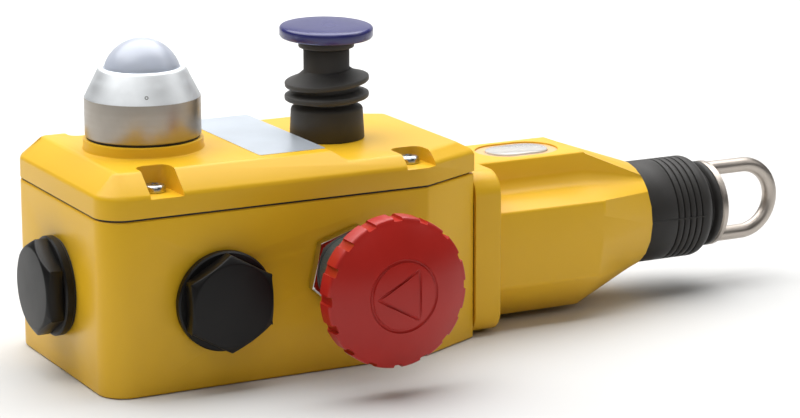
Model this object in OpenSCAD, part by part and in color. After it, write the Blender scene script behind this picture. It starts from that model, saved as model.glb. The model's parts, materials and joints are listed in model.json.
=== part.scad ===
// Rope pull switch: a die-cast box with an emergency stop button, a reset knob and a beacon,
// and a neck that carries the sprung rope shaft with its eye.
// Origin: centre of the four mounting holes, on the underside. +X points to the rope eye, -Y to the
// emergency stop and +Z up. All lengths are in millimetres.

/* [Box] */
// Length of the box along the rope
box_l = 120; // [112:1:140]
// Width of the box
box_w = 72.4; // [70:0.2:90]
// Height of the lower shell, up to its joint face
base_h = 50.4; // [48:0.2:60]
// Thickness of the side walls
wall = 4; // [3:0.5:5]
// Thickness of the floor
floor_t = 5; // [4:0.5:7]
// Radius of the two upright corners at the closed end
corner_r = 8.3; // [5:0.1:12]
// Length of the corner chamfers at the rope end, along the box
chamfer_l = 19.7; // [12:0.1:22]
// Length of the corner chamfers at the rope end, across the box
chamfer_w = 10.5; // [6:0.1:12]

/* [Lid] */
// Thickness of the gasket between the shells
gasket_t = 0.6; // [0.4:0.1:1.2]
// Height of the upright rim of the lid
rim_h = 6; // [4:0.5:8]
// Height of the raised deck over the joint
deck_h = 11.8; // [10:0.2:14]
// How far the sloping border of the lid runs inwards
slope_run = 6.8; // [4:0.2:8]
// Drop from the raised deck to the low deck
deck_step = 2.8; // [1.5:0.1:4]
// Where the ramp between the decks starts, from the middle of the box
ramp_x = 12.6; // [9:0.2:14]
// Length of that ramp
ramp_l = 3.8; // [2:0.2:5]
// Thickness of the decks
deck_t = 3; // [2.5:0.5:4]

/* [Lid screws] */
// Distance of the lid screws from the middle of their pattern, along the box
lid_screw_x = 39.8; // [38:0.2:41]
// Place of the pattern's middle, from the middle of the box
lid_screw_mid = -1.2; // [-2:0.2:0]
// Distance of the lid screws from the middle, across the box
lid_screw_y = 27; // [26:0.5:28]
// Diameter of the lid screws
lid_screw_d = 3; // [2.5:0.5:4]
// Diameter of their pan heads
lid_head_d = 6.4; // [5.5:0.1:6.6]
// Width of the pockets round the heads
pocket_w = 10; // [9:0.5:12]
// Depth of the pocket floors below the rim's top
pocket_drop = 0.9; // [0.4:0.1:2]

/* [Mounting] */
// Spacing of the mounting holes along the box
mount_x = 95; // [94:1:98]
// Spacing of the mounting holes across the box
mount_y = 40; // [36:1:42]
// Diameter of the threaded mounting holes
mount_d = 5; // [4:0.5:6]
// Depth of the mounting holes
mount_depth = 9; // [6:1:12]

/* [Conduit entries] */
// Diameter of the entry threads
entry_d = 20; // [16:1:20]
// Place of the two side entries, from the middle of the box
entry_x = -25.2; // [-27:0.1:-24]
// Diameter of the plug flanges
plug_flange_d = 28.8; // [27.8:0.2:30]
// Thickness of the plug flanges
plug_flange_t = 2.6; // [2:0.1:3.5]
// Width of the plug hexagon across its flats
plug_hex = 24.6; // [20:0.1:25]
// Height of the plug hexagon
plug_hex_h = 5.2; // [4:0.2:7]
// Length of the plug threads
plug_thread_l = 9; // [7:0.5:9]

/* [Emergency stop] */
// Place of the button, from the middle of the box
stop_x = 13.9; // [12:0.1:18]
// Height of the button's axis
stop_z = 29.6; // [25:0.1:31]
// Diameter of the mushroom head
stop_head_d = 43; // [38:0.2:46]
// Height of the mushroom head
stop_head_h = 10.6; // [8:0.2:12]
// Number of grip notches round the head
stop_notches = 24; // [12:1:32]
// Distance from the wall to the back of the head
stop_reach = 24.6; // [17:0.2:29]
// Travel of the button
stop_travel = 5; // [3:0.5:5]
// Diameter of the barrel thread
stop_barrel_d = 18; // [18:0.5:20]
// Width of the outer hexagon nut across its flats
stop_nut_af = 23; // [22:0.5:27]
// Height of the outer nut
stop_nut_h = 3.1; // [2.5:0.1:6]
// Diameter of the grey collar behind the head
stop_collar_d = 21.6; // [20:0.1:24]
// Diameter of the stem
stop_stem_d = 9; // [8.5:0.5:9.5]

/* [Beacon] */
// Place of the beacon, from the middle of the box
beacon_x = -33; // [-34:0.5:-30]
// Diameter of the boss on the lid
boss_d = 34.6; // [33.8:0.1:36]
// Height of the boss over the raised deck
boss_h = 3.2; // [2:0.2:5]
// Diameter of the metal collar
beacon_d = 33.4; // [30:0.2:34]
// Height of the straight part of the collar
beacon_h = 10.6; // [8:0.2:14]
// Height of the conical part of the collar
beacon_cone_h = 8.2; // [5:0.2:10]
// Diameter of the collar at its rim
beacon_rim_d = 25.6; // [24:0.2:28]
// Diameter of the dome
dome_d = 21.4; // [19:0.2:23]
// Height of the dome over the rim
dome_h = 8.6; // [7:0.2:10]

/* [Reset knob] */
// Place of the reset knob, from the middle of the box
reset_x = 25.5; // [25:0.1:27]
// Diameter of the cap
cap_d = 27.6; // [24:0.1:32]
// Height of the cap
cap_h = 5.8; // [5:0.2:8]
// Height of the cap's underside over the low deck
cap_lift = 29.2; // [26:0.2:32]
// Diameter of the collar under the cap
cap_collar_d = 16.5; // [14:0.5:18]
// Height of that collar
cap_collar_h = 2.2; // [2:0.2:4]
// Diameter of the stem
reset_stem_d = 6; // [5:0.5:6]
// Travel of the knob
reset_travel = 6; // [4:0.5:7]
// Diameter of the boot at its foot
boot_foot_d = 22.2; // [20.8:0.2:24]
// Height of the boot's cup
boot_cup_h = 9.6; // [8:0.2:11]
// Diameter of the boot's fins
boot_fin_d = 25; // [22:0.5:27]
// Diameter of the boot's neck
boot_neck_d = 13.6; // [11:0.2:15]

/* [Neck] */
// Height of the rope axis
axis_z = 25.3; // [24.5:0.1:26.5]
// Length of the neck from the box to its nose
neck_l = 69.4; // [66:0.2:80]
// Thickness of the flange
flange_t = 8.7; // [7:0.1:10]
// Width of the flange
flange_w = 53; // [52:0.2:56]
// Radius of the flange's upper corners
flange_r = 10; // [6:0.5:12]
// Radius of the flange's lower corners
flange_low_r = 6; // [3:0.5:8]
// Height of the flange and the ridge
neck_top = 49.7; // [49:0.1:52]
// Height of the underside of the flange
flange_bottom = 0.8; // [0.4:0.2:2]
// Height of the underside of the neck
neck_bottom = 1.9; // [1.2:0.1:4]
// Width of the ridge
ridge_w = 24.8; // [24:0.2:28]
// Height of the foot of the ridge wall
ridge_foot_z = 41.8; // [41:0.1:43]
// Height of the outer edge of the shelf
shelf_z = 36.7; // [35:0.1:39]
// Height of the lower edge of the side faces
keel_z = 13.6; // [11:0.1:17]
// Width of the neck's body
neck_w = 50.6; // [49:0.2:51.4]
// Width of the neck's flat underside
keel_w = 31; // [26:0.5:36]
// Diameter of the nose
nose_d = 33.2; // [33:0.2:37]
// Length of the taper that blends the neck into the round nose
taper_l = 23.8; // [20:0.2:30]
// How much the taper's start leans towards the nose, along over height
taper_lean = 0.09; // [0:0.01:0.15]
// Diameter of the spring chamber
chamber_d = 29; // [28.6:0.2:30]
// Thickness of the chamber's end wall
nose_wall = 7; // [6:0.5:9]

/* [Window] */
// Length of the window
window_l = 26.5; // [22:0.5:28]
// Width of the window
window_w = 19; // [15:0.5:19.5]
// Distance of the window's middle from the box
window_x = 30; // [27:0.5:32]
// Width of the ledge that holds the lens
window_ledge = 3.2; // [2:0.2:4]
// Thickness of the lens
lens_t = 2; // [1.5:0.1:3]

/* [Rope shaft] */
// Diameter of the shaft
shaft_d = 10; // [8:0.5:10]
// Pull of the shaft from slack to fully drawn
pull_travel = 14; // [8:0.5:14]
// Rise of the cam over its length
cam_rise = 0.2; // [0.1:0.01:0.2]
// Diameter of the spring wire
spring_wire = 2.6; // [1.6:0.1:3]
// Number of turns of the spring
spring_turns = 8; // [5:1:10]

/* [Rope eye] */
// Diameter of the end disc
eye_disc_d = 27; // [24:0.1:28]
// Thickness of the end disc
eye_disc_t = 2.3; // [2:0.1:4]
// Diameter of the eye's rod
eye_rod_d = 4.65; // [4:0.05:5.5]
// Reach of the eye beyond the disc
eye_reach = 26.4; // [20:0.2:30]

/* [Shaft boot] */
// Length of the boot
boot_l = 28.3; // [26:0.1:32]
// Diameter of the boot's plain sleeve
boot_d = 32; // [31.6:0.2:33]
// Number of ridges on the boot
boot_ribs = 4; // [2:1:5]
// Pitch of the ridges
boot_pitch = 2.7; // [2:0.1:3]

/* [Hidden] */
$fn = 64;
e = 0.01;              // overcut of open faces
slip = 0.05;           // radial clearance of running and thread fits
gap = 0.3;             // clearance between pieces that move apart

yellow = "#F2BE1A";
black = "#2B2A29";
boot_grey = "#47464A";
steel = "#B9B6AF";
brass = "#B8964A";
zinc = "#C9CCCE";
red = "#B52A2A";
blue = "#3F4F9F";
clear = "#DDE6EE";

half_l = box_l / 2;
half_w = box_w / 2;
lid_z = base_h + gasket_t;
rim_z = lid_z + rim_h;
deck_z = lid_z + deck_h;
low_z = deck_z - deck_step;
chamfer_a = atan(chamfer_w / chamfer_l);

column_r = 5.5;        // screw columns in the corners
gasket_in = 0.5;       // gaskets stand this far inside their faces
gasket_lobe_r = column_r - gasket_in;
gasket_web = half_w - wall - lid_screw_y + gasket_in + 0.5;   // from a lobe into the gasket's rim
mount_boss_r = mount_d / 2 + 3;
mount_boss_h = mount_depth + 3;
entry_boss_t = 3;      // extra thickness of the wall round an entry
entry_boss_r = entry_d / 2 + 3;
seal_t = 0.6;          // flat rubber seals under plugs, nuts and collars

neck_gasket_t = 0.8;
flange_x = half_l + neck_gasket_t;
neck_body_x = flange_x - neck_gasket_t + flange_t + neck_gasket_t;
nose_x = half_l + neck_l;
neck_screw_y = 17;
neck_screw_z = 15;     // above and below the rope axis
neck_screw_d = 4;
bush_r = shaft_d / 2 + 3;
chamber_end_x = nose_x - nose_wall;
spigot_r = 13;
spigot_l = 6;

seat_t = 3;
cup_x = flange_x + gap;
cup_r = chamber_d / 2 - 0.9;
cup_wall = 1.2;
cup_l = 44;
mark_w = 3;
mark_t = 0.4;
disc_x = nose_x + boot_l + gap - 0.1;
eye_x = disc_x + eye_disc_t;

contact_x = -11;       // contact plungers, from the middle of the box
contact_y = 9;
contact_w = 16;
contact_l = 26;
contact_h = 11.5;
plunger_r = 2.5;
bracket_z = axis_z + 11.5;
bracket_t = 1.5;
bracket_w = 48;
contact_step = 5.5;    // terminal steps at both ends of a contact block
contact_step_x = (contact_l - contact_step) / 2 + e;
contact_step_z = bracket_z + bracket_t + contact_h - 5;
cam_half_h = 7.5;        // from the axis to the cam under the plungers, and to the underside
cam_lead = 3;            // cam beyond the plungers at full pull
cam_lag = 2.5;           // and at rest
cam_top = axis_z + cam_half_h;
cam_head_x0 = contact_x - pull_travel - cam_lead;
cam_head_x1 = contact_x + cam_lag;
cam_head_w = 28;
cam_w = 14;
cam_tail_h = 13;
cam_tail_gap = 6;        // from the tail's end to the reset knob's axis
cam_end_x = reset_x - cam_tail_gap;
cam_nut_t = 4;
cam_nut_af = 17;
plunger_z = cam_top + (plunger_r + gap) / cos(atan(cam_rise));
plunger_l = 10;

stop_wall = -half_w;
stop_nut_y = stop_wall - seal_t;
stop_collar_y = stop_nut_y - stop_nut_h;
stop_back_y = stop_wall - stop_reach;
stop_front_y = stop_back_y - stop_head_h;
stop_collar_end = stop_back_y + stop_travel + 0.5;
stop_depth = 18.2;       // the barrel inside the wall
stop_in_y = stop_wall + stop_depth;
stop_contact_w = 15;      // clear of the cam at full pull
stop_contact_h = 18;
stop_contact_l = -cam_w / 2 - 2 - stop_in_y;   // ends clear of the cam's tail
stop_web = 3;
stop_shoulder_y = stop_wall - 2;
stop_shoulder_r = stop_stem_d / 2 + 2;
stop_tip_r = 4;
stop_tip_l = 2;          // the stem's tip beyond the barrel, inside the contact block
stop_run = stop_tip_l + stop_travel + 1;   // room for the tip in the contact block
stop_pivot_r = 4;
stop_pivot_l = 6;
stop_tip_y = stop_in_y + stop_tip_l;
stop_shoulder_t = 1.5;
stop_nut_turn = 17.5;     // how the nut happens to stand
stop_ring_w = 3;
stop_nut_cut = 0.8;
stop_ring_t = 4;

bush_lip = 2;
bush_reach = 15;
bush_top = low_z + bush_lip;
bush_bottom = low_z - bush_reach;
cap_z = low_z + cap_lift;
latch_z = axis_z + shaft_d / 2 + 2;
latch_h = 3;
stem_collar_t = 1.2;

lid_screw_l = 14;      // thread in the base
lid_shank_l = rim_z - pocket_drop - base_h + lid_screw_l - 1;

beacon_z = deck_z + boss_h + seal_t;
beacon_shank_r = 9;
beacon_shank_l = 14;
beacon_nut_af = 24;
beacon_nut_h = 3.2;
beacon_floor = 3;
board_t = 1.6;
board_z = beacon_z + beacon_h;
led_ring_r = 5.4;
led_r = 1.5;
led_h = 2.2;
dome_t = 1.4;
dome_foot = board_z + 2.4;
beacon_rim_z = beacon_z + beacon_h + beacon_cone_h;

reset_bush_r = 6;
reset_nut_af = 17;
reset_nut_h = 3;
boot_wall = 1.6;

window_cx = half_l + window_x;
lens_z = neck_top - lens_t;

bracket_screw_d = 3;
bracket_screw_l = 3.5;
bracket_foot = 8;
earth_x = -31;
earth_y = 21;
earth_boss_r = 4;
earth_boss_h = 4;
earth_d = 4;
earth_l = 7;

terminal_l = 15;
terminal_w = mount_y - 2 * (mount_boss_r + gap);
terminal_h = 13;
terminal_x = -48;
terminal_ways = 4;

ridge_fillet = 3;
bearing_step = 14;     // degrees between the lines of the taper

// ---- shared shapes ----

// Plan of the box, moved inwards by d: round corners at one end, chamfers at the other.
module outline(d = 0) {
    r = corner_r - min(d, corner_r - 1);
    x0 = -half_l + d;
    x1 = half_l - d;
    y1 = half_w - d;
    xc = half_l - chamfer_l - d * tan(chamfer_a / 2);
    yc = half_w - chamfer_w - d * tan((90 - chamfer_a) / 2);
    polygon([[x0 + r, y1], [xc, y1], [x1, yc], [x1, -yc], [xc, -y1], [x0 + r, -y1], [x0, r - y1], [x0, y1 - r]]);
    for (s = [-1, 1])
        translate([x0 + r, s * (y1 - r)])
            circle(r);
}

module each_lid_screw()
    for (sx = [-1, 1], sy = [-1, 1])
        translate([lid_screw_mid + sx * lid_screw_x, sy * lid_screw_y, 0])
            children();

module each_mount()
    for (sx = [-1, 1], sy = [-1, 1])
        translate([sx * mount_x / 2, sy * mount_y / 2, 0])
            children();

module each_neck_screw()
    for (sy = [-1, 1], sz = [-1, 1])
        translate([0, sy * neck_screw_y, axis_z + sz * neck_screw_z])
            children();

// Turns a shape drawn along +Z so that it points along +X, at the rope axis.
module on_axis(x = 0)
    translate([x, 0, axis_z])
        rotate([0, 90, 0])
            children();

// Turns a shape drawn along +Z so that it points out of the front wall, from depth y.
module on_front(x, y, z)
    translate([x, y, z])
        rotate([90, 0, 0])
            children();

module tube(r, inner_r, h)
    difference() {
        cylinder(r = r, h = h);
        translate([0, 0, -e])
            cylinder(r = inner_r, h = h + 2 * e);
    }

module hexagon(af, h)
    cylinder(r = af / sqrt(3), h = h, $fn = 6);

// Hexagon with its outer corners turned off, as on a nut or a plug.
module turned_hexagon(af, h, cut = 1.6)
    intersection() {
        hexagon(af, h);
        union() {
            cylinder(r = af, h = h - cut);
            translate([0, 0, h - cut - e])
                cylinder(r1 = af / sqrt(3) + 0.1, r2 = af / 2 - 0.5, h = cut + e);
        }
    }

// Pan head with a cross recess, seated at z = 0, and a plain shank of the thread's diameter below.
module pan_screw(d, head_d, head_h, l) {
    recess_w = head_d / 7;
    difference() {
        union() {
            rotate_extrude()
                polygon([[0, 0], [head_d / 2, 0], [head_d / 2, head_h * 0.55], [head_d / 2.5, head_h], [0, head_h]]);
            translate([0, 0, -l])
                cylinder(d = d, h = l + e);
        }
        for (a = [0, 90])
            rotate(a)
                translate([-head_d / 3.4, -recess_w / 2, head_h * 0.45])
                    cube([head_d / 1.7, recess_w, head_h]);
    }
}

// Coil spring along +Z, a swept ring of points.
module coil(mid_r, wire_d, length, turns, sides = 6, steps = 14) {
    n = turns * steps;
    rise = length - wire_d;
    points = [
        for (i = [0:n], k = [0:sides - 1])
            let (a = 360 * i / steps, t = 360 * k / sides, r = mid_r + wire_d / 2 * cos(t))
            [r * cos(a), r * sin(a), wire_d / 2 + rise * i / n + wire_d / 2 * sin(t)]
    ];
    walls = [
        for (i = [0:n - 1], k = [0:sides - 1], upper = [0, 1])
            let (a = i * sides + k, b = i * sides + (k + 1) % sides)
            upper == 0 ? [a, b, a + sides] : [b, b + sides, a + sides]
    ];
    caps = [[for (k = [sides - 1:-1:0]) k], [for (k = [0:sides - 1]) n * sides + k]];
    polyhedron(points, concat(walls, caps), convexity = 10);
}

// ---- box ----

// Turns a shape drawn along +Z so that it points out of an entry, with its +Y upwards.
module entry_axis(side)
    if (side == "end")
        translate([-half_l, 0, axis_z])
            rotate([90, 0, -90])
                children();
    else
        translate([entry_x, side == "front" ? -half_w : half_w, axis_z])
            rotate([90, 0, side == "front" ? 0 : 180])
                children();

ENTRIES = ["front", "end", "rear"];

module housing_base()
    color(yellow)
        difference() {
            union() {
                difference() {
                    linear_extrude(base_h)
                        outline();
                    translate([0, 0, floor_t])
                        linear_extrude(base_h)
                            outline(wall);
                }
                intersection() {
                    linear_extrude(base_h)
                        outline();
                    union() {
                        each_lid_screw()
                            cylinder(r = column_r, h = base_h);
                        each_mount()
                            cylinder(r = mount_boss_r, h = mount_boss_h);
                        for (side = ENTRIES)
                            entry_axis(side)
                                translate([0, 0, -wall - entry_boss_t])
                                    cylinder(r = entry_boss_r, h = wall + entry_boss_t);
                        translate([earth_x, earth_y, 0])
                            cylinder(r = earth_boss_r, h = floor_t + earth_boss_h);
                    }
                }
            }
            each_lid_screw()
                translate([0, 0, base_h - lid_screw_l])
                    cylinder(r = lid_screw_d / 2 + slip, h = lid_screw_l + e);
            each_mount()
                translate([0, 0, -e])
                    cylinder(d = mount_d, h = mount_depth);
            for (side = ENTRIES)
                entry_axis(side)
                    translate([0, 0, -plug_thread_l - 1])
                        cylinder(r = entry_d / 2, h = plug_thread_l + 2);
            on_front(stop_x, stop_wall + wall + e, stop_z)
                cylinder(d = stop_barrel_d, h = wall + 2 * e);
            on_axis(half_l - wall - e)
                cylinder(r = bush_r, h = wall + 2 * e);
            each_neck_screw()
                translate([half_l - wall - e, 0, 0])
                    rotate([0, 90, 0])
                        cylinder(r = neck_screw_d / 2 + gap, h = wall + 2 * e);
            each_bracket_screw()
                translate([0, 0, floor_t - bracket_screw_l])
                    cylinder(r = bracket_screw_d / 2 + slip, h = bracket_screw_l + e);
            translate([earth_x, earth_y, floor_t + earth_boss_h - earth_l])
                cylinder(r = earth_d / 2 + slip, h = earth_l + e);
        }

module lid_gasket()
    color(black)
        translate([0, 0, base_h])
            difference() {
                union() {
                    difference() {
                        linear_extrude(gasket_t)
                            outline(gasket_in);
                        translate([0, 0, -e])
                            linear_extrude(gasket_t + 2 * e)
                                outline(wall - gasket_in);
                    }
                    for (s = [0, 1])
                        mirror([0, s, 0])
                            for (k = [-1, 1])
                                translate([lid_screw_mid + k * lid_screw_x, lid_screw_y, 0]) {
                                    cylinder(r = gasket_lobe_r, h = gasket_t);
                                    translate([-gasket_lobe_r, 0, 0])
                                        cube([2 * gasket_lobe_r, gasket_web, gasket_t]);
                                }
                }
                each_lid_screw()
                    translate([0, 0, -e])
                        cylinder(r = lid_screw_d / 2 + gap, h = gasket_t + 2 * e);
            }

// Pocket round a screw head: open to the outside, with a straight back and rounded corners.
module pocket() {
    back = 3.5;
    corner = 3;
    for (s = [0, 1])
        mirror([0, s, 0])
            translate([0, lid_screw_y, rim_z - pocket_drop])
                linear_extrude(deck_h) {
                    translate([-pocket_w / 2, corner - back])
                        square([pocket_w, half_w]);
                    translate([corner - pocket_w / 2, -back])
                        square([pocket_w - 2 * corner, half_w]);
                    for (k = [-1, 1])
                        translate([k * (pocket_w / 2 - corner), corner - back])
                            circle(corner);
                }
}

// Solid of the lid: an upright rim, a sloping border and two decks joined by a ramp.
module lid_form()
    intersection() {
        union() {
            translate([0, 0, lid_z])
                linear_extrude(rim_h)
                    outline();
            hull() {
                translate([0, 0, rim_z - e])
                    linear_extrude(e)
                        outline($fn = 32);
                translate([0, 0, deck_z - e])
                    linear_extrude(e)
                        outline(slope_run, $fn = 32);
            }
        }
        on_front(0, half_w + e, 0)
            linear_extrude(box_w + 2 * e)
                polygon([
                    [-half_l - e, lid_z], [half_l + e, lid_z], [half_l + e, low_z],
                    [ramp_x + ramp_l, low_z], [ramp_x, deck_z], [-half_l - e, deck_z]
                ]);
    }

module lid_hollow() {
    inner_x = half_l - slope_run - wall;
    inner_y = half_w - slope_run - wall;
    translate([0, 0, lid_z - e])
        linear_extrude(rim_h - 1.5)
            outline(wall);
    translate([-inner_x, -inner_y, lid_z])
        cube([inner_x + ramp_x - deck_t, 2 * inner_y, deck_h - deck_t]);
    translate([-inner_x, -inner_y, lid_z])
        cube([2 * inner_x, 2 * inner_y, deck_h - deck_step - deck_t]);
}

module housing_lid()
    color(yellow)
        difference() {
            union() {
                difference() {
                    lid_form();
                    difference() {
                        lid_hollow();
                        each_lid_screw()
                            cylinder(r = column_r, h = deck_z);
                    }
                }
                translate([beacon_x, 0, deck_z - deck_t])
                    cylinder(d = boss_d, h = deck_t + boss_h);
            }
            for (s = [-1, 1])
                translate([lid_screw_mid + s * lid_screw_x, 0, 0])
                    pocket();
            each_lid_screw()
                translate([0, 0, lid_z - e])
                    cylinder(r = lid_screw_d / 2 + 0.2, h = rim_h + 2 * e);
            translate([beacon_x, 0, deck_z - deck_t - e])
                cylinder(r = beacon_shank_r + slip, h = deck_t + boss_h + 2 * e);
            translate([reset_x, 0, low_z - deck_t - e])
                cylinder(r = reset_bush_r + slip, h = deck_t + 2 * e);
            translate([reset_x, 0, low_z])
                cylinder(r = boot_foot_d / 2 + gap, h = deck_step + e);
        }

module lid_screws()
    color(zinc)
        each_lid_screw()
            translate([0, 0, rim_z - pocket_drop])
                pan_screw(lid_screw_d, lid_head_d, 2.2, lid_shank_l);

// ---- conduit plugs ----

module plug()
    color(black)
        union() {
            translate([0, 0, seal_t])
                cylinder(d = plug_flange_d, h = plug_flange_t);
            translate([0, 0, seal_t + plug_flange_t - e])
                rotate(30)
                    turned_hexagon(plug_hex, plug_hex_h + e);
            translate([0, 0, -plug_thread_l])
                cylinder(r = entry_d / 2 - slip, h = plug_thread_l + seal_t + e);
        }

module plug_front()
    entry_axis("front")
        plug();

module plug_end()
    entry_axis("end")
        plug();

module plug_rear()
    entry_axis("rear")
        plug();

module plug_seals()
    color(boot_grey)
        for (side = ENTRIES)
            entry_axis(side)
                tube(plug_flange_d / 2 - 0.6, entry_d / 2 + 0.1, seal_t);

// ---- beacon ----

module beacon_seal()
    color(black)
        translate([beacon_x, 0, deck_z + boss_h])
            tube(beacon_d / 2 - 0.5, beacon_shank_r + 0.2, seal_t);

module beacon_collar()
    color(zinc)
        translate([beacon_x, 0, beacon_z])
            rotate_extrude()
                polygon([
                    [beacon_shank_r - 2, -beacon_shank_l], [beacon_shank_r, -beacon_shank_l],
                    [beacon_shank_r, 0], [beacon_d / 2 - 0.4, 0], [beacon_d / 2, 0.4],
                    [beacon_d / 2, beacon_h], [beacon_rim_d / 2 + 0.3, beacon_h + beacon_cone_h - 0.2],
                    [beacon_rim_d / 2, beacon_h + beacon_cone_h],
                    [dome_d / 2 + slip, beacon_h + beacon_cone_h], [dome_d / 2 + slip, beacon_h],
                    [dome_d / 2 - 2.4, beacon_h], [dome_d / 2 - 2.4, beacon_floor],
                    [beacon_shank_r - 2, beacon_floor]
                ]);

// Dome: a straight foot in the collar and a round top, hollow.
module dome_solid(r, top)
    rotate_extrude()
        intersection() {
            translate([0, dome_foot])
                square([r, top - dome_foot]);
            union() {
                translate([0, dome_foot])
                    square([r, beacon_rim_z - dome_foot + e]);
                translate([0, top - (r * r + pow(top - beacon_rim_z, 2)) / (2 * (top - beacon_rim_z))])
                    circle((r * r + pow(top - beacon_rim_z, 2)) / (2 * (top - beacon_rim_z)));
            }
        }

module beacon_dome()
    color(clear)
        translate([beacon_x, 0, 0])
            difference() {
                dome_solid(dome_d / 2, beacon_rim_z + dome_h);
                translate([0, 0, -e])
                    dome_solid(dome_d / 2 - dome_t, beacon_rim_z + dome_h - dome_t);
            }

module beacon_board()
    color("#2F6B45")
        translate([beacon_x, 0, board_z])
            cylinder(r = dome_d / 2 - 0.1, h = board_t);

module beacon_leds()
    color("#F4F1DA")
        for (k = [0:5])
            translate([beacon_x, 0, board_z + board_t])
                rotate(60 * k)
                    translate([led_ring_r, 0, 0])
                        cylinder(r = led_r, h = led_h);

module beacon_nut()
    color(zinc)
        translate([beacon_x, 0, deck_z - deck_t - beacon_nut_h])
            difference() {
                hexagon(beacon_nut_af, beacon_nut_h);
                translate([0, 0, -e])
                    cylinder(r = beacon_shank_r + slip, h = beacon_nut_h + 2 * e);
            }

// ---- reset knob ----

module reset_bush()
    color(brass)
        translate([reset_x, 0, 0])
            difference() {
                union() {
                    translate([0, 0, bush_bottom])
                        cylinder(r = reset_bush_r, h = bush_top - bush_bottom);
                    translate([0, 0, low_z])
                        cylinder(r = boot_foot_d / 2 - boot_wall - gap, h = bush_top - low_z);
                }
                translate([0, 0, bush_bottom - e])
                    cylinder(r = reset_stem_d / 2 + slip, h = bush_top - bush_bottom + 2 * e);
            }

module reset_nut()
    color(zinc)
        translate([reset_x, 0, low_z - deck_t - reset_nut_h])
            difference() {
                hexagon(reset_nut_af, reset_nut_h);
                translate([0, 0, -e])
                    cylinder(r = reset_bush_r + slip, h = reset_nut_h + 2 * e);
            }

// Rubber boot: a cup round the bush, two sharp folds and a slim neck, bored for the stem.
module reset_boot() {
    foot_r = boot_foot_d / 2;
    cup_top = low_z + boot_cup_h;
    fin_r = boot_fin_d / 2;
    neck_r = boot_neck_d / 2;
    fold = 3.7;
    color(boot_grey)
        translate([reset_x, 0, 0])
            rotate_extrude()
                polygon([
                    [foot_r - boot_wall, low_z], [foot_r, low_z], [foot_r - 0.5, cup_top - 0.8],
                    [foot_r - 1.2, cup_top], [neck_r + 1.4, cup_top + 0.6], [neck_r + 1.4, cup_top + 1.2],
                    [fin_r - 0.3, cup_top + 2.4], [fin_r, cup_top + 2.8], [fin_r - 0.3, cup_top + 3.2],
                    [neck_r + 2.4, cup_top + 4.2], [neck_r + 2.4, cup_top + 1.4 + fold],
                    [fin_r - 0.3, cup_top + 2.4 + fold], [fin_r, cup_top + 2.8 + fold],
                    [fin_r - 0.3, cup_top + 3.2 + fold], [neck_r + 1, cup_top + 5.4 + fold],
                    [neck_r, cup_top + 6.4 + fold], [neck_r, cap_z - cap_collar_h - gap],
                    [reset_stem_d / 2 + 0.4, cap_z - cap_collar_h - gap], [reset_stem_d / 2 + 0.4, cup_top + 1.6],
                    [foot_r - boot_wall, cup_top - 2]
                ]);
}

module reset_spring()
    color(steel)
        translate([reset_x, 0, latch_z + latch_h + stem_collar_t + 0.1])
            coil(reset_stem_d / 2 + 1.2, 0.8, bush_bottom - latch_z - latch_h - stem_collar_t - 0.2, 5);

module reset_stem()
    color(steel)
        translate([reset_x, 0, 0]) {
            translate([0, 0, latch_z + latch_h])
                cylinder(d = reset_stem_d, h = cap_z + 3 - latch_z - latch_h);
            translate([0, 0, latch_z + latch_h])
                cylinder(r = reset_stem_d / 2 + 2.4, h = stem_collar_t);
        }

// Latch foot at the lower end of the stem, with a sloped nose over the cam slider.
module reset_latch()
    color(steel)
        on_front(reset_x, 5, latch_z)
            linear_extrude(10)
                polygon([[-3, latch_h], [-3, 1.5], [-1.5, 0], [3, 0], [3, latch_h]]);

module reset_collar()
    color(black)
        translate([reset_x, 0, cap_z - cap_collar_h])
            tube(cap_collar_d / 2, reset_stem_d / 2 + slip, cap_collar_h);

// Cap: a shallow disc with a domed top, a rounded edge and an underside that rises outwards.
module reset_cap() {
    r = cap_d / 2;
    edge = 1.6;
    dome = 1;
    lip = 1.2;
    dome_r = (pow(r - edge, 2) + dome * dome) / (2 * dome);
    color(blue)
        translate([reset_x, 0, cap_z])
            difference() {
                rotate_extrude()
                    union() {
                        polygon([
                            [0, 0], [cap_collar_d / 2 + 0.6, 0], [r - 0.6, lip], [r, lip + 0.6],
                            [r, cap_h - dome - edge], [r - edge, cap_h - dome], [0, cap_h - dome]
                        ]);
                        translate([r - edge, cap_h - dome - edge])
                            circle(edge);
                        intersection() {
                            translate([0, cap_h - dome_r])
                                circle(dome_r, $fn = 128);
                            translate([0, cap_h - dome - e])
                                square([r - edge, dome + e]);
                        }
                    }
                translate([0, 0, -e])
                    cylinder(r = reset_stem_d / 2 + slip, h = 3.2);
            }
}

// ---- emergency stop ----

module stop_seal()
    color(black)
        on_front(stop_x, stop_wall, stop_z)
            tube(stop_barrel_d / 2 + 1.8, stop_barrel_d / 2, seal_t);

module stop_nut()
    color(zinc)
        on_front(stop_x, stop_nut_y, stop_z)
            difference() {
                rotate(stop_nut_turn)
                    turned_hexagon(stop_nut_af, stop_nut_h, stop_nut_cut);
                translate([0, 0, -e])
                    cylinder(d = stop_barrel_d, h = stop_nut_h + 1);
            }

// Barrel with the grey collar outside the nut; its bore guides the stem and holds the spring.
module stop_barrel() {
    out = stop_in_y - stop_collar_end;
    nut_out = stop_in_y - stop_collar_y;
    shoulder = stop_in_y - stop_shoulder_y + gap;
    color(boot_grey)
        on_front(stop_x, stop_in_y, stop_z)
            difference() {
                union() {
                    cylinder(r = stop_barrel_d / 2 - slip, h = nut_out);
                    translate([0, 0, nut_out])
                        cylinder(d1 = stop_collar_d, d2 = stop_collar_d - 1.2, h = out - nut_out);
                }
                translate([0, 0, -e])
                    cylinder(r = stop_tip_r + slip, h = out);
                translate([0, 0, stop_web])
                    cylinder(r = stop_shoulder_r + 0.4, h = shoulder - stop_web);
                translate([0, 0, shoulder - e])
                    cylinder(r = stop_stem_d / 2 + slip, h = out);
            }
}

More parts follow.
